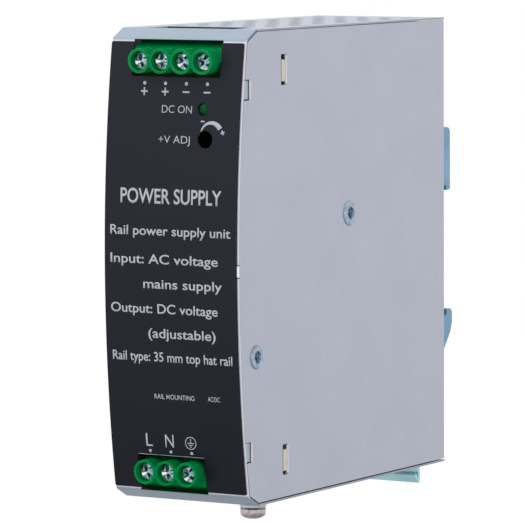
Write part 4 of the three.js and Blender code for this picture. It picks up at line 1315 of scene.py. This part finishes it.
def transistor():
    """Flat on the heat sink bar, with its legs hanging down and bent across to the board."""
    node = "switching_transistor"
    x, y, z = spans(node)
    face, foot = x[1] - 4.5, z[0] + 3
    centre_x, centre_y = (face + x[1]) / 2, sum(y) / 2
    body = block((face, x[1]), y, (foot, z[1]))
    body = cut(body, rod("x", 1.6, (face - 1, face + 0.6), (0, centre_y, z[1] - 3.6), 32))
    legs = []
    for offset in LEG_OFFSETS:
        width = around(centre_y + offset, LEG[0])
        down = block(around(centre_x, LEG[1]), width, (z[0], foot + 0.5))
        legs.append(joined(down, block((x[0], centre_x), width, (z[0], z[0] + LEG[1]))))
    leads = [("tinned_copper", lambda point, normal: point.z < foot - 0.01 or point.x < face - 0.01)]
    piece("transistor_package", merged([body, *legs]), "black_epoxy", node, bevel=0.15, others=leads)


def rectifier():
    """Flat on its heat sink, standing on the board by its legs."""
    node = "output_rectifier"
    x, y, z = spans(node)
    foot, centre_z = x[0] + 5, sum(z) / 2
    body = block((foot, x[1]), y, z)
    body = cut(body, rod("y", 1.7, (y[1] - 0.6, y[1] + 1), (x[1] - 2.8, 0, centre_z), 32))
    length, thickness = (x[0], foot + 0.5), around(sum(y) / 2, LEG[1])
    legs = [block(length, thickness, around(centre_z + 2 * offset, LEG[0])) for offset in LEG_OFFSETS]
    leads = [("tinned_copper", lambda point, normal: point.x < foot - 0.01)]
    piece("rectifier_package", merged([body, *legs]), "black_epoxy", node, bevel=0.15, others=leads)


def components():
    wound_ring("choke", "common_mode_choke", bore=4.2, wire=0.42, windings=[(-70, 70), (110, 250)], turns=11)
    wound_ring("inductor", "output_inductor", bore=3.8, wire=0.5, windings=[(20, 340)], turns=20)
    capacitor_can("bulk_can_1", "bulk_capacitor_1", groove=4.0, lip=1.8)
    capacitor_can("bulk_can_2", "bulk_capacitor_2", groove=4.0, lip=1.8)
    capacitor_can("output_can", "output_capacitor", groove=2.6, lip=1.1)
    fuse()
    transistor()
    rectifier()


# ---- CAD nodes that keep their shape ----

CARRIED_OVER = {  # finish, rounding, and the finish of the rounded edges
    "rear_panel": ("grey_steel", EDGE, "cut_edge"),
    "rail_bracket": ("clip_zinc", 0.2),
    "rail_latch": ("clip_zinc", 0.2),
    "insulation_sheet": ("clear_film", 0.03),
    "x_capacitor": ("yellow_tape", 0.5),
    "trimmer_body": ("blue_plastic", 0.2),
    "transformer_core": ("ferrite", 0.3),
    "transformer_winding": ("yellow_tape", 0.6),
    "input_heat_sink": ("aluminium", 0.2),
    "output_heat_sink": ("aluminium", 0.2),
}


def carried_over():
    for node, look in CARRIED_OVER.items():
        dress(node, *look)
    for name, poles in (("output", OUTPUT_POLES), ("input", INPUT_POLES)):
        for i in range(poles):
            dress(f"{name}_clamp_{i + 1}", "tinned_copper", 0.1)
            dress(f"{name}_contact_{i + 1}", "tinned_copper", 0.08)


# ---- Stage ----

CENTRE = (CAD_BOX[0] + CAD_BOX[1]) / 2
FLOOR_DROP = 0.15  # metres below the lowest point: the unit hangs from its rail
FLOOR_SIZE = 40.0
FLOOR_SHADE = (0.12, 0.75)  # painted shadow: the floor pales between these distances from under the part, in metres
WORLD_STRENGTH = 1.03
CAMERA_AZIMUTH = 30.969
CAMERA_ELEVATION = 5.0756
CAMERA_ROLL = -0.2735
CAMERA_DISTANCE = 1.1962
CAMERA_LENS = 303.96
AIM_RIGHT, AIM_UP = -0.00673, 0.00037  # the camera aims this far beside the middle of the part


def floor():
    bpy.ops.mesh.primitive_plane_add(size=FLOOR_SIZE, location=(0, 0, CAD_BOX[0].z - FLOOR_DROP))
    ground = bpy.context.object
    ground.name = "floor"
    shader = Shader("floor", Specular_IOR_Level=0.0)
    tone = shader.noise(400, detail=1)
    pale = shader.mix(shader.between(tone, 0, 1), (0.97, 0.97, 0.97, 1), (0.98, 0.98, 0.98, 1))
    length = shader.node("VectorMath", Vector=shader.place)
    length.operation = "LENGTH"
    # painted shadow, grey under the part and white further out
    shadow = shader.between(length.outputs["Value"], 0, 1, *FLOOR_SHADE)
    shader.colour(shader.mix(shadow, (0.5, 0.5, 0.5, 1), pale))
    ground.data.materials.append(shader.material)


def soft_box(name, direction, distance, size, power):
    """A square area light in a direction from the middle of the part, facing it."""
    light = bpy.data.lights.new(name, "AREA")
    light.shape = "SQUARE"
    light.size = size
    light.energy = power
    obj = in_scene(name, light)
    toward = Vector(direction).normalized()
    obj.location = CENTRE + toward * distance
    obj.rotation_mode = "QUATERNION"
    obj.rotation_quaternion = toward.to_track_quat("Z", "Y")


def lights():
    world = bpy.data.worlds.new("studio")
    world.use_nodes = True
    background = world.node_tree.nodes["Background"]
    background.inputs["Color"].default_value = (1, 1, 1, 1)
    background.inputs["Strength"].default_value = WORLD_STRENGTH
    bpy.context.scene.world = world
    soft_box("overhead", (-0.5, 0.35, 0.8), distance=1.2, size=0.9, power=0.2)
    soft_box("front_left", (-0.55, -0.8, 0.3), distance=1.3, size=0.7, power=0.8)


def camera():
    azimuth, elevation = math.radians(CAMERA_AZIMUTH), math.radians(CAMERA_ELEVATION)
    across = math.cos(elevation)
    back = Vector((math.sin(azimuth) * across, -math.cos(azimuth) * across, math.sin(elevation)))
    turn = Quaternion(back, math.radians(CAMERA_ROLL)) @ back.to_track_quat("Z", "Y")
    right, up = turn @ Vector((1, 0, 0)), turn @ Vector((0, 1, 0))
    data = bpy.data.cameras.new("camera")
    data.lens = CAMERA_LENS
    data.sensor_width = 36
    data.clip_start, data.clip_end = 0.05, 100
    obj = in_scene("camera", data)
    obj.location = CENTRE + back * CAMERA_DISTANCE + right * AIM_RIGHT + up * AIM_UP
    obj.rotation_mode = "QUATERNION"
    obj.rotation_quaternion = turn
    bpy.context.scene.camera = obj


camera()
lights()
floor()
bpy.context.scene.view_settings.view_transform = "Standard"

front_bezel()
front_label()
label_markings()
right_side_cover()
left_side_panel()
vent_panels()
cover_screws()
earth_fastening()
rivets()
latch_spring()
terminal_housing("output", OUTPUT_X, below)
terminal_housing("input", INPUT_X, above)
terminal_screws("output")
terminal_screws("input")
status_lamp()
trimmer()
boards()
components()
carried_over()
